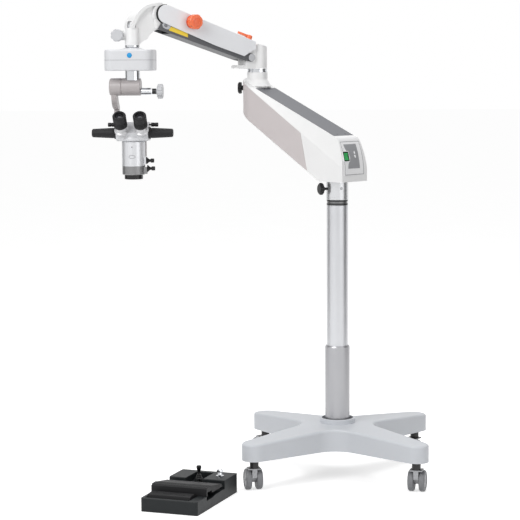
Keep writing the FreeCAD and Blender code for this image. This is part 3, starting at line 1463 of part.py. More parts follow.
def make_tilt():
    place = head_place()
    sideways = FreeCAD.Rotation(FreeCAD.Vector(0, 1, 0), 90)

    def along_x(x, z=size.tilt_height):
        return place * FreeCAD.Placement(FreeCAD.Vector(float(x), 0, float(z)), sideways)

    barrel_long = size.barrel_left + size.barrel_right
    barrel = Piece("barrel_core")
    barrel.turned([
        (size.tilt_shaft + size.running, 0), (size.barrel_radius - 2, 0),
        (size.barrel_radius, 2), (size.barrel_radius, barrel_long - 2),
        (size.barrel_radius - 2, barrel_long), (0, barrel_long),
        (0, barrel_long - 6), (size.tilt_shaft + size.running, barrel_long - 6),
    ])
    barrel.body.Placement = FreeCAD.Placement(
        FreeCAD.Vector(-float(size.barrel_left), 0, float(size.tilt_height)), sideways)
    fitting = Piece("barrel_fitting")
    fit_long = size.fitting_end - size.barrel_right + 8
    fitting.turned([
        (0, 0), (size.fitting_radius - 1, 0), (size.fitting_radius - 1, 9),
        (size.fitting_radius, 11), (size.fitting_radius, fit_long - 4),
        (size.fitting_radius - 2, fit_long), (0, fit_long),
    ])
    screw_height = size.tilt_height - size.fitting_drop
    fitting.body.Placement = FreeCAD.Placement(
        FreeCAD.Vector(float(size.barrel_right) - 8, 0, float(screw_height)), sideways)
    seat = rod("barrel_seat", size.shaft_radius + size.fit * 0.5, 30,
               z=size.tilt_height + size.barrel_radius - 9)
    screw_way = rod("fitting_bore", 8 + size.running, 44, x=size.barrel_right + 2,
                    z=screw_height, along=(1, 0, 0))
    keep(without("barrel_cut", joined("barrel_all", barrel, fitting), seat, screw_way),
         "tilt_barrel", place)

    knob = Piece("tilt_knob")
    start = size.barrel_right + 8
    inner = size.tilt_knob_in - start
    outer = size.tilt_knob_out - start
    knob.turned([
        (0, 0 * start), (7, 0 * start), (8, 1), (8, size.fitting_end - start),
        (8, size.fitting_end - start + 0.3), (10, size.fitting_end - start + 0.3),
        (10, inner - 1), (size.tilt_knob_radius - 6, inner),
        (size.tilt_knob_radius, inner + 3), (size.tilt_knob_radius, outer - 3),
        (size.tilt_knob_radius - 3, outer), (0, outer),
    ])
    flute = knob.pocket(knob.circles([(size.tilt_knob_radius + 3, 0, 6.5)], rise=outer + 1),
                        outer - inner + 0.5)
    knob.around(flute, 8)
    knob.keep(along_x(start, screw_height))

    hub = Piece("tilt_hub")
    shaft_end = size.disc_left + size.barrel_right - 9
    disc = size.disc_left - size.barrel_left - size.fit
    hub.turned([
        (0, 0 * disc), (size.barrel_radius - 6, 0 * disc),
        (size.barrel_radius, 6 + 0 * disc, 6), (size.barrel_radius, disc - 1),
        (size.barrel_radius - 1, disc), (size.tilt_shaft, disc),
        (size.tilt_shaft, shaft_end), (0, shaft_end),
    ])
    hub.body.Placement = FreeCAD.Placement(
        FreeCAD.Vector(-float(size.disc_left), 0, float(size.tilt_height)), sideways)
    drop = Piece("drop_bar")
    back = size.guide_back
    centre = size.tilt_height
    drop.pad(drop.outline([
        (size.barrel_radius * 0.9, centre - 13),
        (back + 11, centre - 70, 90),
        (back + 13, size.guide_high + 20),
        (back + 13, size.guide_high - 30),
        (back - 11, size.guide_high - 30),
        (back - 11, centre - 80),
        (-size.barrel_radius * 0.5, centre - 22, -64),
    ], "YZ", -size.drop_left), size.drop_width)
    bridge = box("drop_bridge", size.drop_left + size.guide_half - 20, 15, 26,
                 x=(20 - size.drop_left) / 2, y=back + 4.5, z=size.guide_high - 30)
    guide = Piece("focus_guide")
    rail_front = back - 14
    guide.pad(guide.outline([
        (-size.guide_half, back + 15), (-size.guide_half, rail_front),
        (-20, rail_front), (-14, rail_front + 8), (14, rail_front + 8), (20, rail_front),
        (size.guide_half, rail_front), (size.guide_half, back + 15),
    ], rise=size.guide_low), size.guide_high - size.guide_low)
    guide.fillet(4, upright_corner(back + 15))
    keep(joined("tilt_arm_all", hub, drop, bridge, guide), "tilt_arm", place)


def upright_corner(depth):
    """Picks the upright edges at one depth."""
    def wanted(edge):
        return upright(edge) and abs(edge.BoundBox.YMin - float(depth)) < 1e-3
    return wanted


def make_scope():
    place = head_place()
    body = Piece("scope_core")
    rim = size.scope_radius
    body.turned([
        (size.lens_radius + 4, size.scope_low), (rim, size.scope_low),
        (rim, size.scope_high - 3), (rim - 3, size.scope_high),
        (0, size.scope_high), (0, size.scope_high - 60),
        (size.lens_radius + 4, size.scope_high - 60),
    ])
    front = size.guide_back - 14 - size.fit
    tongue = body.outline([
        (-36, 12), (36, 12), (36, front), (17.2, front), (12.8, front + 7), (-12.8, front + 7),
        (-17.2, front), (-36, front),
    ], rise=size.scope_low + 4)
    body.pad(tongue, size.scope_high - size.scope_low - 8)
    body.fillet(3, lambda edge: upright(edge) and abs(edge.BoundBox.XMax) > 30)
    switch_ring = body.outline([
        (30, -14), (size.scope_radius + 4, -12), (size.scope_radius + 4, 12), (30, 14),
    ], rise=size.scope_low + 8)
    body.pad(switch_ring, 26)
    zoom_height = size.scope_low + 19
    bore = rod("zoom_way", 3 + size.running, 26, x=size.scope_radius - 14, z=zoom_height,
               along=(1, 0, 0))
    keep(without("scope_bored", body, bore), "scope_body", place)

    ring = Piece("ring_core")
    outer = size.scope_radius - 1
    ring.turned([
        (size.lens_radius + 2, size.ring_low), (outer - 2, size.ring_low),
        (outer, size.ring_low + 3), (outer, size.scope_low - size.fit),
        (size.lens_radius + 2, size.scope_low - size.fit),
    ])
    ring.pad(ring.outline([
        (30, -17), (size.scope_radius + 7, -11), (size.scope_radius + 7, 11), (30, 17),
    ], rise=size.ring_low + 3), 24)
    filter_way = rod("filter_way", 3 + size.running, 30, x=size.scope_radius - 11,
                     z=size.ring_low + 22, along=(1, 0, 0))
    cell = Piece("objective_ring")
    cell_out = size.objective_radius
    lens = size.lens_radius
    cell.turned([
        (lens - 3, size.objective_low), (cell_out - 1.5, size.objective_low),
        (cell_out, size.objective_low + 1.5), (cell_out, size.ring_low + 4),
        (lens + size.fit, size.ring_low + 4),
        (lens + size.fit, size.objective_low + 4), (lens - 3, size.objective_low + 3),
    ])
    keep(without("lower_ring_cut", joined("lower_ring_all", ring, cell), filter_way),
         "lower_ring", place)
    glass = Piece("objective_lens")
    glass.turned([
        (0, size.objective_low + 2.5), (1, size.objective_low + 2.5),
        (lens - 1, size.objective_low + 4.6, 160), (lens, size.objective_low + 5),
        (lens, size.ring_low - 3), (1, size.ring_low - 1.7, 260), (0, size.ring_low - 1.7),
    ])
    glass.keep(place)

    for name, height, start in (
            ("zoom_knob", zoom_height, size.scope_radius - 13),
            ("filter_knob", size.ring_low + 22, size.scope_radius - 10)):
        knob = Piece(name)
        shoulder = size.scope_radius + (4.4 if name == "zoom_knob" else 7.4) - start
        knob.turned([
            (0, 0), (3, 0), (3, shoulder), (12, shoulder), (13, shoulder + 1.5),
            (6, shoulder + 9), (4.5, shoulder + 14), (size.small_knob - 1, shoulder + 15),
            (size.small_knob, shoulder + 16), (size.small_knob, shoulder + 26),
            (size.small_knob - 1.5, shoulder + 27.5), (0, shoulder + 27.5),
        ])
        knob.keep(place * FreeCAD.Placement(
            FreeCAD.Vector(float(start), 0, float(height)),
            FreeCAD.Rotation(FreeCAD.Vector(0, 1, 0), 90)))


def eye_place(side, along=0.0):
    """The frame of one eyepiece: Z looks up and out to the operator's eye."""
    x, y = head_centre()
    tilt = float(size.eye_tilt)
    reach = math.radians(tilt)
    return FreeCAD.Placement(
        FreeCAD.Vector(x + side * float(size.eye_spacing) / 2,
                       y - float(size.eye_front) - along * math.cos(reach),
                       float(size.eye_height) + along * math.sin(reach)),
        FreeCAD.Rotation(FreeCAD.Vector(1, 0, 0), 90 - tilt))


def make_binocular():
    place = head_place()
    seat = size.scope_high + size.fit
    half = size.tube_half_x
    depth = size.tube_half_y
    block = Piece("binocular_block")
    block.pad(block.outline([
        (-depth + 6, seat + 6), (-depth + 16, seat, 12), (depth - 4, seat),
        (depth, seat + 4, 4), (depth, size.tube_high - 10), (depth - 10, size.tube_high, 10),
        (-10, size.tube_high), (-depth - 4, seat + 30),
    ], "YZ", -half), half * 2)
    block.fillet(6, lambda edge: abs(abs(edge.BoundBox.XMin) - float(half)) < 1e-3
                 and edge.BoundBox.XLength < 1e-3 and edge.BoundBox.ZMin > float(seat) + 2)
    dome = Piece("binocular_dome")
    dome.turned([(0, seat), (36, seat), (40, seat + 3), (33, seat + 24, 40), (0, seat + 24)])
    dome.body.Placement = at(0, -10, 0)
    cuts = []
    for side in (-1, 1):
        eye = place.inverse() * eye_place(side)
        cut = doc.addObject("Part::Box", f"eye_seat_{side + 1}")
        cut.Length = float(size.eye_spacing) - 6
        cut.Width = 90
        cut.Height = 70
        cut.Placement = eye * at(-float(cut.Length) / 2, -45, 0)
        cuts.append(cut)
    shaft_way = rod("pupil_way", 3 + size.running, half * 2 + 20, x=-half - 10, y=-2,
                    z=size.pupil_knob_height - 4, along=(1, 0, 0))
    bar_way = rod("grip_bar_way", size.grip_bar + size.running, half * 2 + 20, x=-half - 10,
                  y=-size.grip_ahead, z=size.grip_height, along=(1, 0, 0))
    keep(without("binocular_cut", joined("binocular_all", block, dome), *cuts, shaft_way,
                 bar_way),
         "binocular_body", place)

    for side, word in ((-1, "left"), (1, "right")):
        tube = Piece(f"eye_tube_{word}")
        radius = size.eye_tube
        tube.turned([
            (15, size.fit), (radius + 4, size.fit), (radius + 4, 5), (radius, 8),
            (radius, 29), (15, 29),
        ])
        tube.keep(eye_place(side))
        cup = Piece(f"eyepiece_{word}")
        cup.turned([
            (0, 8), (14.9, 8), (14.9, 29.3), (size.eye_cup, 29.3), (size.eye_cup, 36),
            (size.eye_cup - 1, 37), (size.eye_cup - 1, 56), (size.eye_cup, 58),
            (size.eye_cup, 76), (size.eye_cup - 3, 80), (size.eye_cup - 8, 80),
            (13, 71), (0, 68),
        ])
        cup.keep(eye_place(side))

    knobs = Piece("pupil_knobs")
    reach = size.tube_half_x + 32
    inner = size.tube_half_x + 7
    knob = size.small_knob
    knobs.turned([
        (0, -reach), (knob - 1, -reach), (knob, -reach + 1), (knob, -reach + 10),
        (knob - 1.5, -reach + 12), (knob, -reach + 14), (knob, -inner), (3, -inner),
        (3, inner), (knob, inner), (knob, reach - 14), (knob - 1.5, reach - 12),
        (knob, reach - 10), (knob, reach - 1), (knob - 1, reach), (0, reach),
    ])
    knobs.keep(place * FreeCAD.Placement(
        FreeCAD.Vector(0, -2, float(size.pupil_knob_height) - 4),
        FreeCAD.Rotation(FreeCAD.Vector(0, 1, 0), 90)))

    grips = []
    for side in (-1, 1):
        grip = Piece(f"grip_{side + 1}")
        start = size.tube_half_x + size.fit
        end = size.grip_end - start
        radius = size.grip_radius
        grip.turned([
            (0, 0), (radius + 3, 0), (radius + 3, 5), (radius, 8), (radius + 0.5, 14),
            (radius - 3, end - 3), (radius - 6, end), (0, end),
        ])
        grip.body.Placement = FreeCAD.Placement(
            FreeCAD.Vector(side * float(start), -float(size.grip_ahead),
                           float(size.grip_height)),
            FreeCAD.Rotation(FreeCAD.Vector(0, 1, 0), side * 90))
        grips.append(grip)
    bar = rod("grip_bar", size.grip_bar, half * 2 + 8, x=-half - 4, y=-size.grip_ahead,
              z=size.grip_height, along=(1, 0, 0))
    keep(joined("grip_pair", bar, *grips), "handles", place)


# The foot control. Its frame starts at its front left corner, X to the right, Y back.


def foot_place():
    return at(size.foot_x, size.foot_y, 0, turn=size.foot_turn)


def pedal_block(name, outline, centre, half, first):
    """A pedal across the case, with six anti-slip grooves from a depth on."""
    pedal = Piece(name)
    top = float(outline[3][1])
    pedal.pad(pedal.outline(outline, "YZ", centre + half), half * 2, back=True)
    groove = pedal.pocket(pedal.outline([
        (first, top + 3), (first + 2, top + 3), (first + 2, top - 2.6), (first, top - 2.6),
    ], "YZ", centre + half + 1), half * 2 + 2)
    grip = pedal.add("PartDesign::LinearPattern", "grooves")
    grip.Originals = [groove]
    grip.Direction = (pedal.role("Y_Axis"), [""])
    grip.Length = 26
    grip.Occurrences = 6
    pedal.body.Tip = grip
    return pedal


def make_foot_control():
    place = foot_place()
    wide = size.foot_wide
    long = size.foot_long
    rim = size.foot_rim
    high = size.foot_high
    block = size.foot_block
    side = Piece("case_side")
    side.pad(side.outline([
        (0 * rim, 4 + 0 * rim), (4 + 0 * rim, 0 * rim, 4), (long - 4, 0 * rim),
        (long, 4 + 0 * rim, 4), (long - 3, high - 4), (long - 7, high, 4), (block + 3, high),
        (block, high - 3, 3), (block, rim - 9), (170 + 0 * rim, rim - 9),
        (140 + 0 * rim, rim - 14), (86 + 0 * rim, rim - 14), (86 + 0 * rim, rim),
        (3 + 0 * rim, rim), (0 * rim, rim - 3, 3),
    ], "YZ"), wide)
    plan = Piece("case_plan")
    plan.pad(plan.outline([
        (9, 0 * rim, 9), (wide - 9, 0 * rim), (wide, 9 + 0 * rim, 9), (wide, long - 12),
        (wide - 12, long, 12), (12, long), (0 * rim, long - 12, 12), (0 * rim, 9 + 0 * rim),
    ]), high + 5)
    body = common("case_body", side, plan)
    case = Piece("case_cuts")
    deep = high - size.foot_floor
    case.pad(case.outline([
        (10, 12), (wide - 34, 12), (wide - 34, block - 12), (10, block - 12),
    ], rise=size.foot_floor), deep + 5)
    case.pad(case.outline([
        (62, block - 13), (126, block - 13), (126, block + 100), (62, block + 100),
    ], rise=high - 22), 30)
    under = Piece("case_under")
    under.pad(under.outline([
        (8, 8), (wide - 8, 8), (wide - 8, long - 8), (8, long - 8),
    ], rise=-1), 7)
    stud = Piece("foot_stud")
    stud.turned([
        (0, high - 2), (13, high - 2), (14, high + 1), (9, high + 4), (7, high + 12),
        (11, high + 15), (11, high + 21), (8, high + 23), (0, high + 23),
    ])
    stud.body.Placement = at(wide - 42, block + 64)
    joystick_well = rod("joystick_well", 17, 30, x=90, y=block + 50, z=high - 40)
    axle_front = 76
    axle_rear = 222
    axle_ways = [
        rod("front_axle_way", 3 + size.running, wide - 32, x=5, y=axle_front, z=34,
            along=(1, 0, 0)),
        rod("rear_axle_way", 3 + size.running, wide - 32, x=5, y=axle_rear, z=31,
            along=(1, 0, 0)),
        rod("gimbal_axle_way", 3 + size.running, 44, x=68, y=block + 50, z=high - 29,
            along=(1, 0, 0)),
    ]
    ribs = [
        box("well_rib_left", 3, 22, 20, x=11.5, y=axle_front, z=size.foot_floor - 1),
    ]
    carved = without("foot_case_carved", body, case, under)
    keep(without("foot_case_cut", joined("foot_case_all", carved, stud, *ribs),
                 joystick_well, *axle_ways), "foot_case", place)

    middle = 10 + (wide - 44) / 2
    inner_half = (wide - 44) / 2 - 3.4
    front = pedal_block("foot_pedal_front", [
        (28, 43), (30, 54), (34, 55, 5), (axle_front - 6, 57), (axle_front + 5, 51, 14),
        (axle_front + 6, 30), (axle_front - 6, 30), (axle_front - 12, 45),
    ], middle, inner_half, 38)
    front_pin = rod("front_pedal_pin", 3, wide - 44 + 6, x=7, y=axle_front, z=34,
                    along=(1, 0, 0))
    keep(joined("front_pedal_all", front, front_pin), "foot_pedal_front", place)

    rear = pedal_block("rear_pedal_cover", [
        (89, rim - 1), (89, 71), (95, 76, 6), (126, 77), (137, 74, 25), (axle_rear + 4, 61),
        (axle_rear + 10, 55, 7), (axle_rear + 10, 50), (137, 50), (137, 58), (97, 60),
        (97, rim - 1),
    ], wide / 2, wide / 2 - 1.5, 99)
    hanger = Piece("rear_pedal_hanger")
    hanger.pad(hanger.outline([
        (axle_rear - 16, 56), (axle_rear - 6, 27), (axle_rear + 6, 27), (axle_rear + 8, 56),
    ], "YZ", middle + inner_half), inner_half * 2, back=True)
    rear_pin = rod("rear_pedal_pin", 3, wide - 44 + 6, x=7, y=axle_rear, z=31,
                   along=(1, 0, 0))
    keep(joined("rear_pedal_all", rear, hanger, rear_pin), "foot_pedal_rear", place)

    centre = (90, block + 50, high - 29)
    gimbal = Piece("joystick_gimbal")
    gimbal.pad(gimbal.circles([(0, 0, 14)], rise=-4), 8)
    gimbal.pocket(gimbal.circles([(0, 0, 9.4)], rise=4), 8)
    cross_pins = [
        rod(f"gimbal_pin_{side + 1}", 3, 8, x=side * 12.5, along=(side, 0, 0))
        for side in (-1, 1)]
    pin_way = rod("gimbal_pin_way", 2 + size.running, 40, y=-20, along=(0, 1, 0))
    ring = without("gimbal_cut", joined("gimbal_all", gimbal, *cross_pins), pin_way)
    keep(ring, "joystick_gimbal", place * at(*centre))

    stick = Piece("stick_core")
    stick.turned([
        (0, -7), (6, -6), (8, 0), (6, 6), (4, 10), (4, 18), (14.5, 16), (14.5, 18),
        (10, 22), (11, 24), (7.5, 28), (8.5, 30), (4.5, 34), (4.2, 39), (8.6, 56),
        (8.6, 61), (7, 63), (0, 63),
    ])
    stick_pin = rod("stick_pin", 2, 26, y=-13, along=(0, 1, 0))
    keep(joined("stick_all", stick, stick_pin), "joystick", place * at(*centre))


make_base()
make_castors()
make_column()
make_lower_arm()
make_post()
make_balance_arm()
make_head_bracket()
make_positioner()
make_tilt()
make_scope()
make_binocular()
make_foot_control()

doc.recompute()
faulty = [thing.Label for thing in doc.Objects
          if "Invalid" in thing.State or "Error" in thing.State]
for node in nodes:
    shape = node.Shape
    if shape.isNull() or not shape.isValid() or not shape.Solids:
        faulty.append(node.Label)
if faulty:
    raise RuntimeError("objects that did not build: " + ", ".join(faulty))

os.makedirs("parts", exist_ok=True)
for node in nodes:
    node.Shape.exportStep(os.path.join("parts", f"{node.Label}.step"))
print(len(nodes), "pieces written")
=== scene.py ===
# %% [markdown]
# # A surgical microscope on a floor stand
# This notebook dresses the solids of a floor-standing surgical microscope. Every length is
# in metres. The floor is z = 0, the column stands on the origin, +X is to the right of the
# operator and +Y leads away.

import math

import bmesh
import bpy
import numpy as np
from mathutils import Matrix, Vector


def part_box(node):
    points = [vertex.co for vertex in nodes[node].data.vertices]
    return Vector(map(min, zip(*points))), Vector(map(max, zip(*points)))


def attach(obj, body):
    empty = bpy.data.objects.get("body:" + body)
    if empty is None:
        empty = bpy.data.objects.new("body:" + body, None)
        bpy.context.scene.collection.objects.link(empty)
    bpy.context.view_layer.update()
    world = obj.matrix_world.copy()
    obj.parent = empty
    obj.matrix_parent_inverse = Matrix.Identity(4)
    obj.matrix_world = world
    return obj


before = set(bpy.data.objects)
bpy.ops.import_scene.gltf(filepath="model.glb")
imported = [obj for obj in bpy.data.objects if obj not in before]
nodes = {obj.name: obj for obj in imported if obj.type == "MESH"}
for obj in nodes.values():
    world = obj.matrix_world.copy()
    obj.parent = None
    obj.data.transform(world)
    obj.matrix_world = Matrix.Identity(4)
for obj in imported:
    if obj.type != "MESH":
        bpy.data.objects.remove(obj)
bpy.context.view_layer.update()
print(len(nodes), "solids loaded")

# %% [markdown]
# The picture was taken from a little above chest height, about six and a half metres away,
# with a long lens. A camera's own axes are right, up and back, so the matrix is built from
# those three directions. That way was chosen because a turn, a dip and a roll can each be
# read straight off the numbers.

# %% Camera
CAMERA_PLACE = (0.2003, -6.5162, 1.4675)
CAMERA_TURN = -0.0735
CAMERA_DIP = 0.1044
CAMERA_ROLL = -0.0053
FOCAL_PIXELS = 1816.3
FRAME_PIXELS = 520
SENSOR_WIDTH = 36
FAR_CLIP = 200


def make_camera():
    ahead = Vector((math.sin(CAMERA_TURN) * math.cos(CAMERA_DIP),
                    math.cos(CAMERA_TURN) * math.cos(CAMERA_DIP), -math.sin(CAMERA_DIP)))
    side = Vector((math.cos(CAMERA_TURN), -math.sin(CAMERA_TURN), 0))
    over = side.cross(ahead)
    right = side * math.cos(CAMERA_ROLL) + over * math.sin(CAMERA_ROLL)
    up = over * math.cos(CAMERA_ROLL) - side * math.sin(CAMERA_ROLL)
    lens = bpy.data.cameras.new("camera")
    lens.sensor_width = SENSOR_WIDTH
    lens.lens = FOCAL_PIXELS * SENSOR_WIDTH / FRAME_PIXELS
    lens.clip_end = FAR_CLIP
    camera = bpy.data.objects.new("camera", lens)
    bpy.context.collection.objects.link(camera)
    axes = Matrix((right, up, -ahead)).transposed().to_4x4()
    camera.matrix_world = Matrix.Translation(CAMERA_PLACE) @ axes
    bpy.context.scene.camera = camera
    print("lens", round(lens.lens, 1), "mm")


make_camera()

# %% [markdown]
# A finish is a small network of nodes. Written node by node it is hard to read, so one class
# wraps a socket and lets numbers be added and multiplied in plain Python, and another adds
# every other kind of node through a single method.

# %% Shader arithmetic
NOISE_ROUGHNESS = 0.55


class Wire:
    """An output socket that can stand in a sum or a product."""

    def __init__(self, finish, socket):
        self.finish = finish
        self.socket = socket

    def maths(self, operation, first, second=0.0):
        return self.finish.add("ShaderNodeMath", {"operation": operation},
                               {0: first, 1: second})

    def __add__(self, other):
        return self.maths("ADD", self, other)

    def __radd__(self, other):
        return self.maths("ADD", other, self)

    def __sub__(self, other):
        return self.maths("SUBTRACT", self, other)

    def __mul__(self, other):
        return self.maths("MULTIPLY", self, other)

    def __gt__(self, other):
        return self.maths("GREATER_THAN", self, other)

    def __lt__(self, other):
        return self.maths("LESS_THAN", self, other)


class Finish:
    """The node network of one material, and the methods that add to it."""

    def __init__(self, tree):
        self.tree = tree

    def add(self, kind, settings=None, sockets=None, output=0):
        """Adds a node, with its settings and whatever feeds its inputs, and gives an output."""
        node = self.tree.nodes.new(kind)
        for key, value in (settings or {}).items():
            setattr(node, key, value)
        for key, value in (sockets or {}).items():
            self.join(value, node.inputs[key])
        return Wire(self, node.outputs[output])

    def join(self, value, socket):
        if isinstance(value, Wire):
            self.tree.links.new(value.socket, socket)
        else:
            socket.default_value = value

    def place(self):
        return self.add("ShaderNodeTexCoord", output="Object")

    def axis(self, letter):
        """One coordinate of the place on the object, in metres."""
        return self.add("ShaderNodeSeparateXYZ", {}, {0: self.place()}, output=letter)

    def noise(self, scale, detail=2.0, stretch=None):
        """Noise of a given scale, drawn out along an axis where a stretch is given."""
        where = self.place()
        if stretch is not None:
            where = self.add("ShaderNodeMapping", {}, {"Vector": where, "Scale": stretch})
        return self.add("ShaderNodeTexNoise", {}, {
            "Vector": where, "Scale": scale, "Detail": detail,
            "Roughness": NOISE_ROUGHNESS})

    def blend(self, share, first, second):
        return self.add("ShaderNodeMix", {"data_type": "RGBA"},
                        {0: share, 6: first, 7: second}, output=2)

    def bump(self, height, depth):
        return self.add("ShaderNodeBump", {}, {
            "Height": height, "Distance": depth, "Strength": 1.0}, output="Normal")


def tone(red, green, blue):
    """A colour as it looks on a screen, 0 to 255, turned into light."""
    def light(level):
        share = level / 255
        return share / 12.92 if share <= 0.04045 else ((share + 0.055) / 1.055) ** 2.4
    return (light(red), light(green), light(blue), 1.0)


def shade(colour, share):
    """The same colour, lighter or darker by a share."""
    return tuple(level * share for level in colour[:3]) + (1.0,)


def start_material(name):
    """A new material, the finish that adds to its network, and its main shader."""
    material = bpy.data.materials.new(name)
    material.use_nodes = True
    return material, Finish(material.node_tree), material.node_tree.nodes["Principled BSDF"]


# %% [markdown]
# Nearly every piece of this stand is painted, moulded or plated, and such surfaces differ in
# four things: two close tones, how glossy they are, how metallic, and how fine the texture
# is. One recipe therefore makes them all, and a second recipe lets two finishes meet at a
# line on one solid, such as the chrome nut on top of the painted unit.

# %% The recipe for one surface
CLOUD_DETAIL = 4.0
CLOUD_GLOSS = 0.08
GRAIN_GLOSS = 0.04
GRAIN_TINT = 0.5
PIT_SHADE = 0.8


class Look:
    """What a surface is like: colour, gloss, metal and the height of its texture."""

    def __init__(self, colour, rough, metal=0.0, grain=900.0, depth=2e-5, cloud=14.0,
                 spread=0.07, streak=None):
        self.colour = colour
        self.rough = rough
        self.metal = metal
        self.grain = grain
        self.depth = depth
        self.cloud = cloud
        self.spread = spread
        self.streak = streak

    def wires(self, finish):
        """The look as sockets. Slow clouds shift the tone, fine grain gives the texture."""
        clouds = finish.noise(self.cloud, CLOUD_DETAIL)
        grain = finish.noise(self.grain, 2.0, self.streak)
        lightest = min(1 + self.spread, 1 / max(self.colour[:3]))
        tint = finish.blend(clouds, shade(self.colour, 1 - self.spread),
                            shade(self.colour, lightest))
        tint = finish.blend(grain * GRAIN_TINT, tint,
                            shade(self.colour, 1 - self.spread * PIT_SHADE))
        dullest = self.rough - (CLOUD_GLOSS + GRAIN_GLOSS) / 2
        rough = dullest + clouds * CLOUD_GLOSS + grain * GRAIN_GLOSS
        return tint, rough, grain * self.depth


def dressed(name, look, other=None, share=None, coat=0.0, coat_rough=0.1, specular=0.5):
    """Makes a material from one look, or from two that meet where share passes a half."""
    material, finish, shader = start_material(name)
    tint, rough, height = look.wires(finish)
    metal = look.metal
    if other is not None:
        mask = share(finish)
        tint_two, rough_two, height_two = other.wires(finish)
        tint = finish.blend(mask, tint, tint_two)
        rough = rough + mask * (rough_two - rough)
        height = height + mask * (height_two - height)
        metal = look.metal + mask * (other.metal - look.metal)
    finish.join(tint, shader.inputs["Base Color"])
    finish.join(rough, shader.inputs["Roughness"])
    finish.join(metal, shader.inputs["Metallic"])
    finish.join(finish.bump(height, 1.0), shader.inputs["Normal"])
    shader.inputs["Coat Weight"].default_value = coat
    shader.inputs["Coat Roughness"].default_value = coat_rough
    shader.inputs["Specular IOR Level"].default_value = specular
    return material


def mould(level, rough, **more):
    """A neutral grey of a given level, a touch cool."""
    return Look(tone(level, level, level + 1), rough, **more)


def wear(material, *names):
    """Gives a material to solids of the frame."""
    for name in names:
        slots = nodes[name].material_slots
        if not slots:
            nodes[name].data.materials.append(material)
        for slot in slots:
            slot.material = material


def middle(name):
    """The middle of a solid's box."""
    low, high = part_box(name)
    return (low + high) / 2


# %% [markdown]
# The studio is a pale floor under an even white surround. The floor gives a little light of
# its own to the camera, which makes it white where nothing shades it and keeps the shadow
# under the base. Two darker boards, one on each side of the stand, show only in reflections:
# they give the bright metal its dark edges, as black boards do beside photographed chrome.

# %% Studio
AMBIENT = 0.44
FLOOR_HALF = 60
FLOOR_GLOW = 0.62
FLOOR_ROUGHNESS = 0.9
SPECK_SCALE = 3.0
SPECK_DETAIL = 2.0
BOARD_FOOT = 0.05
BOARD_SPREAD = 1.1
LAMP_AIM = (-0.3, 0.0, 0.95)


def grey(level):
    return (level, level, level, 1)


def seen_directly(finish):
    """1 for rays that come from the camera, a mirror or a piece of glass."""
    path = finish.add("ShaderNodeLightPath", output="Is Camera Ray")
    glossy = finish.add("ShaderNodeLightPath", output="Is Glossy Ray")
    through = finish.add("ShaderNodeLightPath", output="Is Transmission Ray")
    return path.maths("MAXIMUM", path.maths("MAXIMUM", path, glossy), through)


def stage_sheet(name, corners, material):
    """One flat face that belongs to the studio and not to the part."""
    mesh = bpy.data.meshes.new(name)
    mesh.from_pydata(corners, [], [(0, 1, 2, 3)])
    mesh.materials.append(material)
    sheet = bpy.data.objects.new(name, mesh)
    bpy.context.collection.objects.link(sheet)
    return sheet


def make_studio():
    world = bpy.data.worlds.new("surround")
    bpy.context.scene.world = world
    world.use_nodes = True
    finish = Finish(world.node_tree)
    sky = world.node_tree.nodes["Background"]
    sky.inputs["Color"].default_value = (1, 1, 1, 1)
    finish.join(AMBIENT + seen_directly(finish) * (1 - AMBIENT), sky.inputs["Strength"])

    material, finish, shader = start_material("studio_floor")
    speck = finish.noise(SPECK_SCALE, SPECK_DETAIL)
    finish.join(finish.blend(speck, grey(0.80), grey(0.84)), shader.inputs["Base Color"])
    glow = seen_directly(finish) * FLOOR_GLOW
    finish.join(finish.add("ShaderNodeCombineXYZ", {}, {0: glow, 1: glow, 2: glow}),
                shader.inputs["Emission Color"])
    shader.inputs["Emission Strength"].default_value = 1.0
    shader.inputs["Roughness"].default_value = FLOOR_ROUGHNESS
    shader.inputs["Specular IOR Level"].default_value = 0.0
    corners = [(x * FLOOR_HALF, y * FLOOR_HALF, 0)
               for x, y in ((-1, -1), (1, -1), (1, 1), (-1, 1))]
    stage_sheet("floor", corners, material)


def make_board(name, x, y, width, height, level):
    """An upright board that faces the column and that only reflections show."""
    material, finish, shader = start_material(name)
    speck = finish.noise(SPECK_SCALE, SPECK_DETAIL)
    finish.join(finish.blend(speck, grey(level), grey(level * BOARD_SPREAD)),
                shader.inputs["Base Color"])
    along = Vector((-y, x, 0)).normalized() * (width / 2)
    near_end, far_end = (x - along.x, y - along.y), (x + along.x, y + along.y)
    board = stage_sheet(name, [near_end + (BOARD_FOOT,), far_end + (BOARD_FOOT,),
                               far_end + (height,), near_end + (height,)], material)
    board.visible_camera = False
    board.visible_diffuse = False
    board.visible_shadow = False
    board.visible_transmission = False


def make_lamp(name, place, size, power):
    """A square lamp that looks at the middle of the stand."""
    lamp = bpy.data.lights.new(name, "AREA")
    lamp.size = size
    lamp.energy = power
    holder = bpy.data.objects.new(name, lamp)
    bpy.context.collection.objects.link(holder)
    look = (Vector(LAMP_AIM) - Vector(place)).to_track_quat("-Z", "Y").to_matrix().to_4x4()
    holder.matrix_world = Matrix.Translation(place) @ look


bpy.context.scene.view_settings.view_transform = "Standard"
make_studio()
make_board("board_left", -3.4, 0.9, width=2.2, height=3.4, level=0.30)
make_board("board_right", 3.3, 0.4, width=2.6, height=3.4, level=0.10)
make_lamp("key_lamp", (-2.4, -3.4, 3.3), size=2.4, power=104)
make_lamp("fill_lamp", (3.2, -3.0, 2.2), size=2.6, power=30)
make_lamp("top_lamp", (-0.2, 0.6, 4.2), size=2.6, power=52)
print("studio ready")

# %% [markdown]
# The painted castings are stoved white enamel: nearly smooth, with a faint orange peel. The
# moulded covers are light greys with a finer, drier texture.

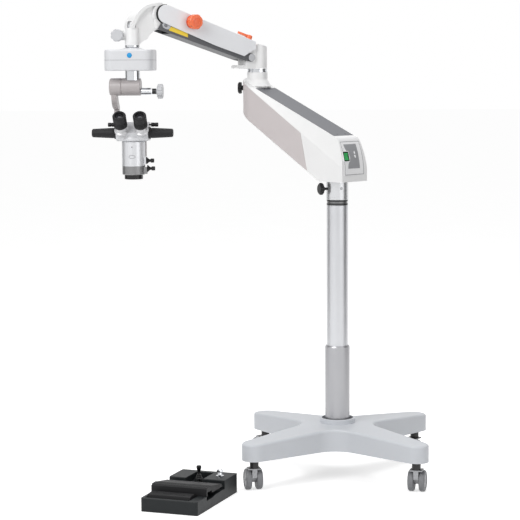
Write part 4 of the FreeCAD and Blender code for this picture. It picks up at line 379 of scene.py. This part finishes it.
# %% Paints and mouldings
WHITE = Look(tone(238, 238, 238), 0.36, grain=700, depth=3e-5, spread=0.03)
COVER_WHITE = Look(tone(231, 232, 235), 0.38, grain=700, depth=3e-5, spread=0.03)
WARM_GREY = Look(tone(203, 196, 196), 0.46, grain=1500, depth=3e-5, spread=0.04)
BASE_GREY = Look(tone(205, 208, 213), 0.42, grain=1500, depth=3e-5, spread=0.04)
UNIT_GREY = Look(tone(214, 215, 218), 0.40, grain=1200, depth=2e-5, spread=0.04)
TILT_GREY = Look(tone(178, 172, 172), 0.38, grain=1200, depth=2e-5, spread=0.05)
STRIP_GREY = Look(tone(106, 107, 112), 0.5, grain=1600, depth=5e-5, spread=0.06)
LINK_GREY = Look(tone(82, 83, 87), 0.45, grain=1100, depth=4e-5, spread=0.10)
ORANGE = Look(tone(243, 108, 48), 0.34, grain=900, depth=2e-5, spread=0.06)
KNOB_GREY = Look(tone(196, 197, 200), 0.36, grain=1100, depth=2e-5, spread=0.05)
YELLOW = Look(tone(247, 214, 60), 0.42, grain=900, depth=1e-5, spread=0.05)
BLUE = Look(tone(0, 150, 214), 0.26, grain=900, depth=1e-5, spread=0.06)
GREEN = Look(tone(58, 176, 96), 0.2, grain=500, depth=1e-5, spread=0.12)

wear(dressed("white_enamel", WHITE, coat=0.2), "arm_housing", "head_bracket")
wear(dressed("cover_enamel", COVER_WHITE, coat=0.2), "arm_cover")
wear(dressed("warm_grey_moulding", WARM_GREY), "side_cover")
wear(dressed("base_moulding", BASE_GREY), "base_cover")
wear(dressed("unit_grey", UNIT_GREY, coat=0.15), "positioner_base")
wear(dressed("tilt_grey", TILT_GREY, coat=0.15), "tilt_arm")
wear(dressed("strip_grey", STRIP_GREY), "top_strip")
wear(dressed("orange_moulding", ORANGE, coat=0.3), "balance_lever")
wear(dressed("knob_grey", KNOB_GREY, coat=0.2), "head_clamp_knob")
wear(dressed("button_blue", BLUE, coat=0.5), "blue_button")

# %% [markdown]
# The column is satin anodised aluminium tube. Its drawing leaves fine streaks along the
# tube, so the grain is stretched along Z. The chrome is smooth, with faint smears that change
# only its gloss. The black pieces are moulded rubber and plastic.

# %% Metals and blacks
SATIN = Look(tone(205, 206, 209), 0.30, 0.72, grain=260, depth=6e-6, spread=0.05,
             streak=(3.0, 3.0, 0.08))
SATIN_DARK = Look(tone(172, 172, 175), 0.32, 0.72, grain=260, depth=6e-6, spread=0.05,
                  streak=(3.0, 3.0, 0.08))
SATIN_FINE = Look(tone(216, 217, 219), 0.24, 0.75, grain=320, depth=5e-6, spread=0.05,
                  streak=(0.2, 0.2, 4.0))
CHROME = Look(tone(214, 216, 219), 0.13, 1.0, grain=300, depth=2e-6, spread=0.05)
STEEL = Look(tone(170, 171, 174), 0.30, 0.95, grain=700, depth=1e-5, spread=0.10)
IRON = Look(tone(62, 63, 66), 0.6, 0.5, grain=320, depth=2e-4, spread=0.2)
RUBBER = Look(tone(24, 24, 26), 0.55, grain=1500, depth=6e-5, spread=0.18)
BLACK = Look(tone(15, 15, 17), 0.36, grain=1300, depth=3e-5, spread=0.2)
GLOSS_BLACK = Look(tone(18, 18, 20), 0.14, grain=800, depth=5e-6, spread=0.2)
CHARCOAL = Look(tone(22, 26, 28), 0.5, grain=1400, depth=6e-5, spread=0.12)
TYRE = Look(tone(128, 129, 132), 0.5, grain=900, depth=4e-5, spread=0.10)
SCOPE_SILVER = Look(tone(214, 215, 218), 0.3, 0.6, grain=320, depth=8e-7, spread=0.02,
                    streak=(0.3, 0.3, 3.0))
HOOD_GREY = Look(tone(176, 177, 180), 0.42, spread=0.06)
EYE_TUBE = Look(tone(206, 206, 208), 0.32, 0.3, spread=0.05)

wear(dressed("satin_tube", SATIN), "column_tube")
wear(dressed("satin_sleeve", SATIN_DARK), "column_sleeve")
wear(dressed("collar_silver", SATIN_FINE), "pivot_collar")
wear(dressed("spring_steel", STEEL), "balance_spring", "link_pin", "x_carriage")
wear(dressed("cast_iron", IRON), "base_frame", "housing_beam", "lamp_unit", "spring_tube")
wear(dressed("black_moulding", BLACK, specular=0.3), "zoom_knob", "filter_knob",
     "pupil_knobs", "collar_knob", "socket_knob", "joystick")
wear(dressed("grip_rubber", RUBBER, specular=0.3), "handles", "eyepiece_left",
     "eyepiece_right", "foot_pedal_front", "foot_pedal_rear", "joystick_gimbal")
wear(dressed("scope_silver", SCOPE_SILVER), "scope_body")
wear(dressed("wheel_grey", TYRE), "castor_wheels_front_left", "castor_wheels_front_right",
     "castor_wheels_rear_left", "castor_wheels_rear_right")

# %% [markdown]
# Some solids carry two finishes that meet at an edge: the bearing ring of the column, the
# nut and flange of the positioning unit, the black ring under the silver one, the thread
# beside the tilt knob. Each is picked by a plain comparison of coordinates, because the edge
# of the metal lies at a known height or distance.

# %% Solids with two finishes
UPPER_UNIT = 0.037
UNIT_NUT = (0.0275, 0.005)
COLUMN_GROOVE = (0.0058, 0.0122)
SILVER_RING = 0.0305
THREAD_START = 0.0292
KNOB_START = 0.0845
HOOD_TOP = 0.0795
POST_RING = (1.4583, 1.4712)
STUD_TALL = 0.0222


def above(level):
    return lambda finish: finish.axis("Z") > level


def beyond_x(level):
    return lambda finish: finish.axis("X") > level


def between(letter, low, high):
    def share(finish):
        place = finish.axis(letter)
        return (place > low) * (place < high)
    return share


def near_axis(centre, radius, level):
    """1 inside a radius of an upright axis and above a level."""
    def share(finish):
        east = finish.axis("X") - centre.x
        north = finish.axis("Y") - centre.y
        return (east * east + north * north < radius * radius) * (finish.axis("Z") > level)
    return share


head = middle("objective_lens")
unit_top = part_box("positioner_base")[1].z + UPPER_UNIT
ring_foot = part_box("column_tube")[1].z
silver_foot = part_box("lower_ring")[1].z - SILVER_RING
stud_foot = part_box("foot_case")[1].z - STUD_TALL
wear(dressed("bearing_ring", mould(70, 0.25, metal=0.6), mould(128, 0.28, metal=0.8),
             between("Z", ring_foot + COLUMN_GROOVE[0], ring_foot + COLUMN_GROOVE[1])),
     "column_spindle")
wear(dressed("unit_top", UNIT_GREY, CHROME,
             near_axis(head, UNIT_NUT[0], unit_top + UNIT_NUT[1]), coat=0.1),
     "positioner_top")
wear(dressed("lower_ring", GLOSS_BLACK, mould(138, 0.3, metal=0.7), above(silver_foot)),
     "lower_ring")
wear(dressed("tilt_barrel", TILT_GREY, CHROME, beyond_x(head.x + THREAD_START), coat=0.1),
     "tilt_barrel")
wear(dressed("tilt_knob", BLACK, KNOB_GREY, beyond_x(head.x + KNOB_START)), "tilt_knob")
wear(dressed("drop_shaft", CHROME), "drop_shaft")
wear(dressed("castor_hood", HOOD_GREY, BLACK, above(HOOD_TOP)), "castor_body_front_left",
     "castor_body_front_right", "castor_body_rear_left", "castor_body_rear_right")
wear(dressed("post_enamel", WHITE, CHROME, between("Z", *POST_RING), coat=0.2),
     "swivel_post")
wear(dressed("foot_case", CHARCOAL, CHROME, above(stud_foot), specular=0.3), "foot_case")
wear(dressed("lock_knob", ORANGE, coat=0.4), "lock_knob")
wear(dressed("binocular_grey", UNIT_GREY, coat=0.25), "binocular_body")
wear(dressed("eye_tube", EYE_TUBE, coat=0.2), "eye_tube_left", "eye_tube_right")
wear(dressed("link_casting", LINK_GREY, coat=0.1), "lower_link")

# %% [markdown]
# The objective is a coated lens. Seen from outside it is nearly black with a violet sheen,
# so it is a dark glossy body under a clear coat with faint bloom.

# %% Glass
wear(dressed("coated_glass", Look(tone(24, 20, 40), 0.05, grain=60, depth=0.0, spread=0.3),
             coat=1.0, coat_rough=0.02), "objective_lens")
print("every solid has its finish")

# %% [markdown]
# The details that a camera sees and the solids leave out are thin surfaces: printed fields,
# a strip of painted shade, lenses, hub discs and screws. Each one is a grid of points that
# numpy works out at once from two parameters. A grid is the plainest way to turn a formula
# into faces, and one helper closes its seams, turns its normals outwards and hangs it on its
# body.

# %% From a grid of points to a piece
WELD_GAP = 1e-6
SLIVER_EDGE = 1e-7
SHARP_ANGLE = 32


def surface(name, body, material, grid, around=False, thick=0.0):
    """Quads between neighbours of a grid of points, rows by columns by xyz.

    With around, the last column meets the first. With thick, the sheet becomes a wall that
    lies half on each side of it.
    """
    rows, columns, _ = grid.shape
    index = np.arange(rows * columns).reshape(rows, columns)
    if around:
        index = np.hstack((index, index[:, :1]))
    faces = np.stack((index[:-1, :-1], index[:-1, 1:], index[1:, 1:], index[1:, :-1]), -1)
    mesh = bpy.data.meshes.new(name)
    mesh.from_pydata(grid.reshape(-1, 3).tolist(), [], faces.reshape(-1, 4).tolist())
    solid = bmesh.new()
    solid.from_mesh(mesh)
    bmesh.ops.remove_doubles(solid, verts=solid.verts, dist=WELD_GAP)
    bmesh.ops.dissolve_degenerate(solid, edges=solid.edges, dist=SLIVER_EDGE)
    bmesh.ops.recalc_face_normals(solid, faces=solid.faces)
    solid.to_mesh(mesh)
    solid.free()
    mesh.shade_smooth()
    mesh.set_sharp_from_angle(angle=math.radians(SHARP_ANGLE))
    mesh.materials.append(material)
    piece = bpy.data.objects.new(name, mesh)
    bpy.context.collection.objects.link(piece)
    # The wall is a modifier, so that the grid stays as thin as its formula makes it.
    if thick:
        wall = piece.modifiers.new("wall", "SOLIDIFY")
        wall.thickness = thick
        wall.offset = 0.0
    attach(piece, body)


def frame_of(axis):
    """Two directions square to an axis that isn't upright, and the axis itself."""
    axis = np.asarray(axis, float) / np.linalg.norm(axis)
    side = np.cross((0.0, 0.0, 1.0), axis)
    side = side / np.linalg.norm(side)
    return side, np.cross(axis, side), axis


def lathe(profile, centre, axis, steps):
    """A profile of (radius, height) pairs carried round an axis.

    The place is the centre, plus the height along the axis, plus the radius times the cosine
    and the sine of the angle along the two square directions.
    """
    radius, height = np.array(profile, float).T
    angle = np.linspace(0, 2 * math.pi, steps, endpoint=False)
    side, up, ahead = frame_of(axis)
    ring = np.cos(angle)[:, None] * side + np.sin(angle)[:, None] * up
    return np.asarray(centre) + height[:, None, None] * ahead + radius[:, None, None] * ring


def mesh_points(name):
    """The corners of a solid's mesh, as rows of xyz."""
    mesh = nodes[name].data
    places = np.empty(len(mesh.vertices) * 3)
    mesh.vertices.foreach_get("co", places)
    return places.reshape(-1, 3)


# %% [markdown]
# The control panel is a sheet that follows the curved end of the housing. Its printing does
# too: a point of the panel is given by how far it lies to the near side and how high up the
# face it is, and one function bends that pair on to the arc. Lettering is left off.

# %% The curved end face
ARM_TURN = math.radians(143)
ARM = np.array((math.cos(ARM_TURN), math.sin(ARM_TURN), 0.0))
NEAR = np.array((-math.sin(ARM_TURN), math.cos(ARM_TURN), 0.0))
UP = np.array((0.0, 0.0, 1.0))
ARC_RADIUS = 0.260
ARC_CENTRE = 0.180
ARC_START = 1.100
PANEL_PROUD = 0.0019
PRINT_RADIUS = ARC_RADIUS + PANEL_PROUD
PRINT_THICK = 0.0004
BORDER_STEPS = 160
SWITCH_SIDE, SWITCH_HEIGHT = 0.044, 1.1604
BEZEL_HALF = (0.0148, 0.0168)
ROCKER_HALF = (0.0112, 0.0128)


def on_face(side, height, proud=0.0):
    """A place on the end face: it runs upright to the start of the arc, then bends back.

    The lean is the angle whose sine is the climb over the radius. The run along the arm is
    the arc's centre less the radius times the cosine of the lean.
    """
    climb = np.asarray(height, float) - ARC_START
    lean = np.arcsin(np.clip(climb / ARC_RADIUS, 0, 1))
    radius = PRINT_RADIUS + proud
    run = ARC_CENTRE - radius * np.cos(lean)
    rise = np.where(climb < 0, height, ARC_START + radius * np.sin(lean))
    run, side, rise = np.broadcast_arrays(run, side, rise)
    return run[..., None] * ARM + side[..., None] * NEAR + rise[..., None] * UP


def border(half_wide, half_tall, width, middle_side, middle_height, proud):
    """A closed band: a rectangle and the same one drawn in by a width, point by point."""
    corners = (0, 1, 2, 3, 4)
    walk = np.linspace(0, 4, BORDER_STEPS, endpoint=False)
    east = np.interp(walk, corners, (-1, 1, 1, -1, -1))
    north = np.interp(walk, corners, (-1, -1, 1, 1, -1))
    inset = np.array((0.0, width))[:, None]
    side = middle_side + east * (half_wide - inset)
    height = middle_height + north * (half_tall - inset)
    return on_face(side, height, proud)


def switch_window(half_wide, half_tall):
    """1 inside an upright rectangle of the end face, round the middle of the switch."""
    def share(finish):
        near = finish.axis("X") * NEAR[0] + finish.axis("Y") * NEAR[1]
        climb = finish.axis("Z")
        return ((near > SWITCH_SIDE - half_wide) * (near < SWITCH_SIDE + half_wide)
                * (climb > SWITCH_HEIGHT - half_tall) * (climb < SWITCH_HEIGHT + half_tall))
    return share


wear(dressed("panel_white", mould(238, 0.4, grain=1500, depth=1e-5, spread=0.02), BLACK,
             switch_window(*BEZEL_HALF)), "control_panel")
wear(dressed("rocker_green", GLOSS_BLACK, GREEN, switch_window(*ROCKER_HALF), coat=0.6,
             coat_rough=0.06), "power_switch")
print_grey = dressed("printed_grey", Look(tone(150, 151, 154), 0.5, grain=1500, depth=1e-5,
                                          spread=0.04))
wear(print_grey, "brightness_key")
line_grey = dressed("printed_line", Look(tone(118, 119, 123), 0.5, grain=1500, depth=1e-5,
                                         spread=0.05))
key_white = dressed("key_white", Look(tone(244, 244, 245), 0.35, grain=1500, depth=1e-5,
                                      spread=0.02))
surface("panel_line", "lower_arm", line_grey,
        border(half_wide=0.0535, half_tall=0.0585, width=0.0017, middle_side=0.004,
               middle_height=1.1527, proud=0.0001), around=True, thick=PRINT_THICK)

# %% [markdown]
# The grey field has the outline of half an hourglass, because its left side makes room for
# the power switch. That side is a straight line less a bell curve.

# %% The grey field and the two keys
FIELD_LOW, FIELD_TALL = 1.1165, 0.0855
FIELD_FAR, FIELD_NEAR, FIELD_LEAN = -0.0272, 0.0395, 0.0035
NOTCH_DEEP, NOTCH_HEIGHT, NOTCH_TALL = 0.0195, 1.157, 0.021
KEY_WIDE, KEY_TALL, KEY_TIP = 0.0050, 0.0062, 1.1
KEY_SIDE = -0.007


def panel_field():
    """Rows go up the face and columns go across, from the straight side to the notched one.

    The notched side is a leaning line less a bell curve: e to the minus square of the
    distance from the notch's middle over its height.
    """
    rise = np.linspace(0, 1, 41)[:, None]
    across = np.linspace(0, 1, 13)[None, :]
    height = FIELD_LOW + rise * FIELD_TALL
    bell = np.exp(-((height - NOTCH_HEIGHT) / NOTCH_TALL) ** 2)
    notched = FIELD_NEAR + FIELD_LEAN * rise - NOTCH_DEEP * bell
    return on_face(FIELD_FAR * (1 - across) + notched * across, height, 0.0002)


def drop_key(name, height, tip):
    """A drop: the sine narrowed by a power of the half angle's sine, drawn in to its middle."""
    angle = np.linspace(0, 2 * math.pi, 48, endpoint=False)
    wide = KEY_WIDE * np.sin(angle) * np.sin(angle / 2) ** KEY_TIP
    tall = KEY_TALL * np.cos(angle) * tip
    share = np.array((1.0, 1.0, 0.86, 0.5, 0.0))[:, None]
    proud = np.array((-0.0006, 0.0009, 0.0013, 0.0015, 0.0016))[:, None]
    surface(name, "brightness_key", key_white,
            on_face(KEY_SIDE + share * wide, height + share * tall, proud), around=True)


surface("panel_field", "lower_arm", print_grey, panel_field(), thick=PRINT_THICK)
drop_key("key_up", 1.1735, 1)
drop_key("key_down", 1.1575, -1)
print("control panel printed")

# %% [markdown]
# The roof strip is held by a screw near each corner, and the collar by one in front. A screw
# head is a low dome with a round pit, turned from one profile.

# %% Screws
STRIP_BAND = 0.004
SCREW_INSET = 0.012
SCREW_SIDE = 0.022
COLLAR_FACE = 0.0385
COLLAR_SCREW_HEIGHT = 1.044
COLLAR_SCREW_TURN = 0.42


def screw(name, body, material, place, axis, radius):
    """A dome with a pit in it, as a profile turned about the screw's axis."""
    profile = [(0, -0.3), (1, -0.3), (1, 0.12), (0.93, 0.3), (0.55, 0.42), (0.5, 0.36),
               (0.46, 0.02), (0, 0.0)]
    surface(name, body, material,
            lathe([(r * radius, h * radius) for r, h in profile], place, axis, 24))


bolt_grey = dressed("bolt_grey", Look(tone(120, 121, 124), 0.32, 0.8, grain=500, depth=1e-5,
                                      spread=0.1))
strip_points = mesh_points("top_strip")
strip_runs = strip_points @ ARM
strip_first, strip_last = strip_runs.min(), strip_runs.max()
strip_low = strip_points[strip_runs < strip_first + STRIP_BAND][:, 2].max()
strip_high = strip_points[strip_runs > strip_last - STRIP_BAND][:, 2].max()


def roof_point(run, side):
    """A place on the roof strip, whose top rises in a straight line from end to end."""
    climb = (strip_high - strip_low) * (run - strip_first)
    rise = strip_low + climb / (strip_last - strip_first)
    return run * ARM + side * NEAR + rise * UP


roof_normal = np.cross(NEAR, roof_point(strip_last, 0) - roof_point(strip_first, 0))
roof_normal = roof_normal * np.sign(roof_normal[2])
for end, run in (("front", strip_first + SCREW_INSET), ("rear", strip_last - SCREW_INSET)):
    for word, side in (("near", SCREW_SIDE), ("far", -SCREW_SIDE)):
        screw(f"strip_screw_{end}_{word}", "lower_arm", bolt_grey,
              roof_point(run, side), roof_normal, 0.0028)
collar_way = np.array((math.sin(COLLAR_SCREW_TURN), -math.cos(COLLAR_SCREW_TURN), 0.0))
screw("collar_screw", "lower_arm", bolt_grey,
      COLLAR_FACE * collar_way + COLLAR_SCREW_HEIGHT * UP, collar_way, 0.0045)

# %% [markdown]
# The balance arm carries a plain yellow strip on its lower link, a steel end plate with a bolt
# where the link meets the head, and a dark strip of painted shade round its nose, which stands
# for the shaded gap between the arm's nose and the head bracket. All three lie in the upright
# plane of the arm, so one function turns a run along the arm and a height into a place, at a
# distance to the near side.

# %% The balance arm's trim
ARM_REACH = 0.379
POST = ARM_REACH * ARM
LIFT_TURN = math.radians(216)
LIFT = np.array((math.cos(LIFT_TURN), math.sin(LIFT_TURN), 0.0))
LIFT_NEAR = np.array((-math.sin(LIFT_TURN), math.cos(LIFT_TURN), 0.0))
PLATE_FACE = 0.035
PIVOT_RUN, PIVOT_LOW, PIVOT_HIGH = 0.404, 1.626, 1.666
LINK_SLOPE = 0.114 / 0.358
STRIP_MIDDLE = (0.352, 1.6045)
STRIP_HALF_LONG, STRIP_HALF_TALL = 0.0385, 0.0085
# The nose strip is painted shade: a dark band where the gap between the arm's nose and the head
# bracket lies in shade.
GAP_SHADE_RADIUS, GAP_SHADE_HALF, GAP_SHADE_THICK = 0.0341, 0.0405, 0.0012
GAP_SHADE_FIRST, GAP_SHADE_LAST = math.radians(-66), math.radians(96)


def on_arm(run, height, side):
    """A place from its run ahead of the post, its height, and its way to the near side."""
    run, height, side = np.broadcast_arrays(run, height, side)
    return POST + run[..., None] * LIFT + height[..., None] * UP + side[..., None] * LIFT_NEAR


def end_plate(long, tall):
    """A flat patch with round ends: each row is as long as the half circle leaves it."""
    share = np.linspace(-1, 1, 25)[:, None]
    across = np.linspace(-1, 1, 33)[None, :]
    cap = tall / 2 * np.sqrt(np.clip(1 - share ** 2, 0, 1))
    along = across * (long / 2 - tall / 2 + cap)
    up = share * tall / 2
    level = 1 / math.hypot(1, LINK_SLOPE)
    runs = PIVOT_RUN - 0.003 + (along - up * LINK_SLOPE) * level
    heights = PIVOT_LOW - 0.0006 + (along * LINK_SLOPE + up) * level
    return on_arm(runs, heights, PLATE_FACE + 0.0008)


def yellow_strip():
    """A leaning strip with upright ends, which follows the slope of the link."""
    share = np.linspace(-1, 1, 9)[:, None]
    along = np.linspace(-1, 1, 41)[None, :] * STRIP_HALF_LONG
    return on_arm(STRIP_MIDDLE[0] + along,
                  STRIP_MIDDLE[1] + along * LINK_SLOPE + share * STRIP_HALF_TALL,
                  PLATE_FACE + 0.0004)


def nose_seal():
    """A dark strip of painted shade bent round the front pivot, where the gap to the head
    bracket
    lies in shade: an angle one way, the width of the arm the other.
    """
    angle = np.linspace(GAP_SHADE_FIRST, GAP_SHADE_LAST, 61)[:, None]
    return on_arm(PIVOT_RUN + GAP_SHADE_RADIUS * np.cos(angle),
                  PIVOT_HIGH + GAP_SHADE_RADIUS * np.sin(angle),
                  np.linspace(-GAP_SHADE_HALF, GAP_SHADE_HALF, 9)[None, :])


surface("yellow_strip", "lower_link", dressed("strip_yellow", YELLOW),
        yellow_strip(), thick=0.0006)
plate_steel = dressed("end_plate", Look(tone(168, 169, 172), 0.34, 0.6, grain=500, depth=1e-5,
                                        spread=0.06))
surface("link_end_plate", "lower_link", plate_steel, end_plate(0.034, 0.024),
        thick=0.0014)
screw("link_front_bolt", "lower_link", bolt_grey,
      on_arm(PIVOT_RUN, PIVOT_LOW, PLATE_FACE + 0.0016), LIFT_NEAR, 0.0065)
# Painted shade: a dark strip round the arm's nose, standing for the shaded gap to the head
# bracket.
surface("nose_seal", "balance_arm", dressed("gap_shade_black", RUBBER), nose_seal(),
        thick=GAP_SHADE_THICK)
print("balance arm trimmed")

# %% [markdown]
# The knobs are fluted solids already. The orange lock knob also has a round cap with a dish
# in it on its face, and a brick-red ring round its foot.

# %% The lock knob's cap and ring
cap_orange = dressed("cap_orange", Look(tone(236, 98, 42), 0.3, grain=900, depth=2e-5,
                                        spread=0.05), coat=0.3)
brick_red = dressed("brick_red", Look(tone(206, 74, 40), 0.42, grain=900, depth=2e-5,
                                      spread=0.08))
KNOB_PLACE = on_arm(0.302, 1.639, 0.0)
CAP_SEAT = 0.0793
RING_SEAT = 0.0438
surface("lock_knob_cap", "lock_knob", cap_orange,
        lathe([(0, -0.002), (0.0165, -0.002), (0.0172, 0.0006), (0.0160, 0.0016),
               (0.0120, 0.0018), (0.0105, 0.0006), (0, 0.0012)],
              KNOB_PLACE + CAP_SEAT * LIFT_NEAR, LIFT_NEAR, 56))
surface("lock_knob_ring", "lock_knob", brick_red,
        lathe([(0.0230, 0.0), (0.0236, 0.0008), (0.0236, 0.0050), (0.0228, 0.0058),
               (0.0222, 0.0058), (0.0222, 0.0), (0.0230, 0.0)],
              KNOB_PLACE + RING_SEAT * LIFT_NEAR, LIFT_NEAR, 56))

# %% [markdown]
# The two halves of the positioning unit meet at a dark joint line. It is a narrow band
# carried round the plan that the unit has: a rectangle with a quarter circle at each corner.

# %% The joint line of the positioning unit
HEAD = np.array((head.x, head.y, 0.0))
unit_low, unit_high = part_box("positioner_base")
unit_centre = (np.array(unit_low) + np.array(unit_high)) / 2
unit_half = (np.array(unit_high) - np.array(unit_low)) / 2
UNIT_CORNER = 0.030
LINE_PROUD = 0.00015


def round_plan(half_x, half_y, radius, steps=18):
    """Four quarter circles, one at each corner, joined by the straight sides."""
    angle = np.linspace(0, math.pi / 2, steps)
    turns = np.concatenate([angle + quarter * math.pi / 2 for quarter in range(4)])
    sign_x = np.repeat((1, -1, -1, 1), steps)
    sign_y = np.repeat((1, 1, -1, -1), steps)
    return (sign_x * (half_x - radius) + radius * np.cos(turns),
            sign_y * (half_y - radius) + radius * np.sin(turns))


plan_x, plan_y = round_plan(unit_half[0] + LINE_PROUD, unit_half[1] + LINE_PROUD,
                            UNIT_CORNER)
band = np.array((-0.0004, 0.0006))[:, None]
joint = np.stack(np.broadcast_arrays(unit_centre[0] + plan_x[None, :],
                                     unit_centre[1] + plan_y[None, :],
                                     unit_high[2] + band), -1)
surface("unit_joint_line", "positioner", line_grey, joint, around=True,
        thick=PRINT_THICK)

# %% [markdown]
# Each eyecup has a coated lens sunk in it, with a thin ring round the lens, and four ribs
# round its rubber. The lens is a shallow dome, which gives the round highlight that a flat
# disc never has.

# %% Eyepieces
EYE_TILT = math.radians(45)
EYE_SIDE, EYE_AHEAD, EYE_HEIGHT = 0.036, -0.042, 1.254
LENS_SEAT = 0.0689
LENS_RADIUS, LENS_RISE = 0.0118, 0.0022
RIB_HEIGHTS = (0.040, 0.044, 0.048, 0.052)
EYE_AXIS = np.array((0.0, -math.cos(EYE_TILT), math.sin(EYE_TILT)))
lens_dark = dressed("eye_lens", Look(tone(20, 19, 30), 0.1, grain=60, depth=0.0, spread=0.3),
                    coat=0.3, coat_rough=0.05, specular=0.3)
cup_rubber = dressed("cup_lip", Look(tone(26, 26, 28), 0.5, grain=1500, depth=5e-5,
                                     spread=0.15), specular=0.3)
dome = [(LENS_RADIUS * math.sin(turn), LENS_RISE * math.cos(turn))
        for turn in np.linspace(0, 1.57, 9)]
for word, side in (("left", -EYE_SIDE), ("right", EYE_SIDE)):
    seat = HEAD + np.array((side, EYE_AHEAD, EYE_HEIGHT))
    bowl = seat + LENS_SEAT * EYE_AXIS
    surface(f"eye_lens_{word}", f"eyepiece_{word}", lens_dark,
            lathe(dome + [(LENS_RADIUS, -0.0012), (0, -0.0012)], bowl, EYE_AXIS, 40))
    surface(f"eye_lens_ring_{word}", f"eyepiece_{word}", cup_rubber,
            lathe([(0.0119, -0.0010), (0.0127, -0.0010), (0.0127, 0.0012), (0.0119, 0.0016),
                   (0.0119, -0.0010)], bowl, EYE_AXIS, 40))
    for number, height in enumerate(RIB_HEIGHTS):
        surface(f"cup_rib_{word}_{number}", f"eyepiece_{word}", cup_rubber,
                lathe([(0.0225, height - 0.0012), (0.0236, height - 0.0009),
                       (0.0239, height), (0.0236, height + 0.0009),
                       (0.0225, height + 0.0012), (0.0225, height - 0.0012)],
                      seat, EYE_AXIS, 56))

# %% [markdown]
# The silver body carries a bare oval rim and a small dark index dot on its front. Both are
# flat rings wrapped round the body: an oval is a circle stretched sideways, and the dot's
# ring is nearly as wide as the dot. The body's radius is read from its mesh, from the points
# of its front.

# %% Microscope body
BODY_MIDDLE, BODY_BAND, FRONT_HALF = 1.15, 0.06, 0.012
scope_points = mesh_points("scope_body") - HEAD
at_front = ((np.abs(scope_points[:, 2] - BODY_MIDDLE) < BODY_BAND)
            & (np.abs(scope_points[:, 0]) < FRONT_HALF))
BODY_RADIUS = abs(scope_points[at_front][:, 1].min())
print("scope body radius", round(BODY_RADIUS, 4))


def oval_on_body(name, height, half_wide, half_tall, width):
    """A flat ring wrapped on the round body: the side place over the radius is an angle."""
    angle = np.linspace(0, 2 * math.pi, 64, endpoint=False)
    inset = np.array((0.0, width))[:, None]
    side = (half_wide - inset) * np.cos(angle)
    rise = height + (half_tall - inset) * np.sin(angle)
    turn = side / BODY_RADIUS
    radius = BODY_RADIUS + 0.0002
    place = np.stack((radius * np.sin(turn), -radius * np.cos(turn), rise), -1) + HEAD
    surface(name, "scope", line_grey, place, around=True, thick=0.0005)


oval_on_body("body_oval", 1.162, half_wide=0.0118, half_tall=0.0062, width=0.0012)
oval_on_body("body_dot", 1.1965, half_wide=0.0021, half_tall=0.0021, width=0.00205)

# %% [markdown]
# A twin castor shows a pale hub disc on the outside of each wheel, with a shallow dish in it
# and a pin in the middle. The wheels' own boxes give the axle's place, and each castor's turn
# gives the axle's direction.

# %% Castor hubs
HUB_TURN = {"front_left": -75, "front_right": -100, "rear_left": 10, "rear_right": 60}
HUB_OUT = 0.0272
hub_grey = dressed("hub_grey", Look(tone(158, 159, 162), 0.42, grain=1100, depth=2e-5,
                                    spread=0.05))
for word, degrees in HUB_TURN.items():
    axle = np.array((-math.sin(math.radians(degrees)), math.cos(math.radians(degrees)), 0))
    hub_centre = np.array(middle(f"castor_wheels_{word}"))
    for number, way in enumerate((-1, 1)):
        surface(f"castor_hub_{word}_{number}", f"wheels_{word}", hub_grey,
                lathe([(0, -0.002), (0.0228, -0.002), (0.0232, 0.0006), (0.0218, 0.0014),
                       (0.0185, 0.0006), (0.0085, 0.0003), (0.0075, 0.0016),
                       (0.0058, 0.0022), (0, 0.0022)],
                      hub_centre + way * HUB_OUT * axle, way * axle, 48))
meshes = [thing for thing in bpy.data.objects if thing.type == "MESH"]
print("details in place:", len(meshes), "meshes")
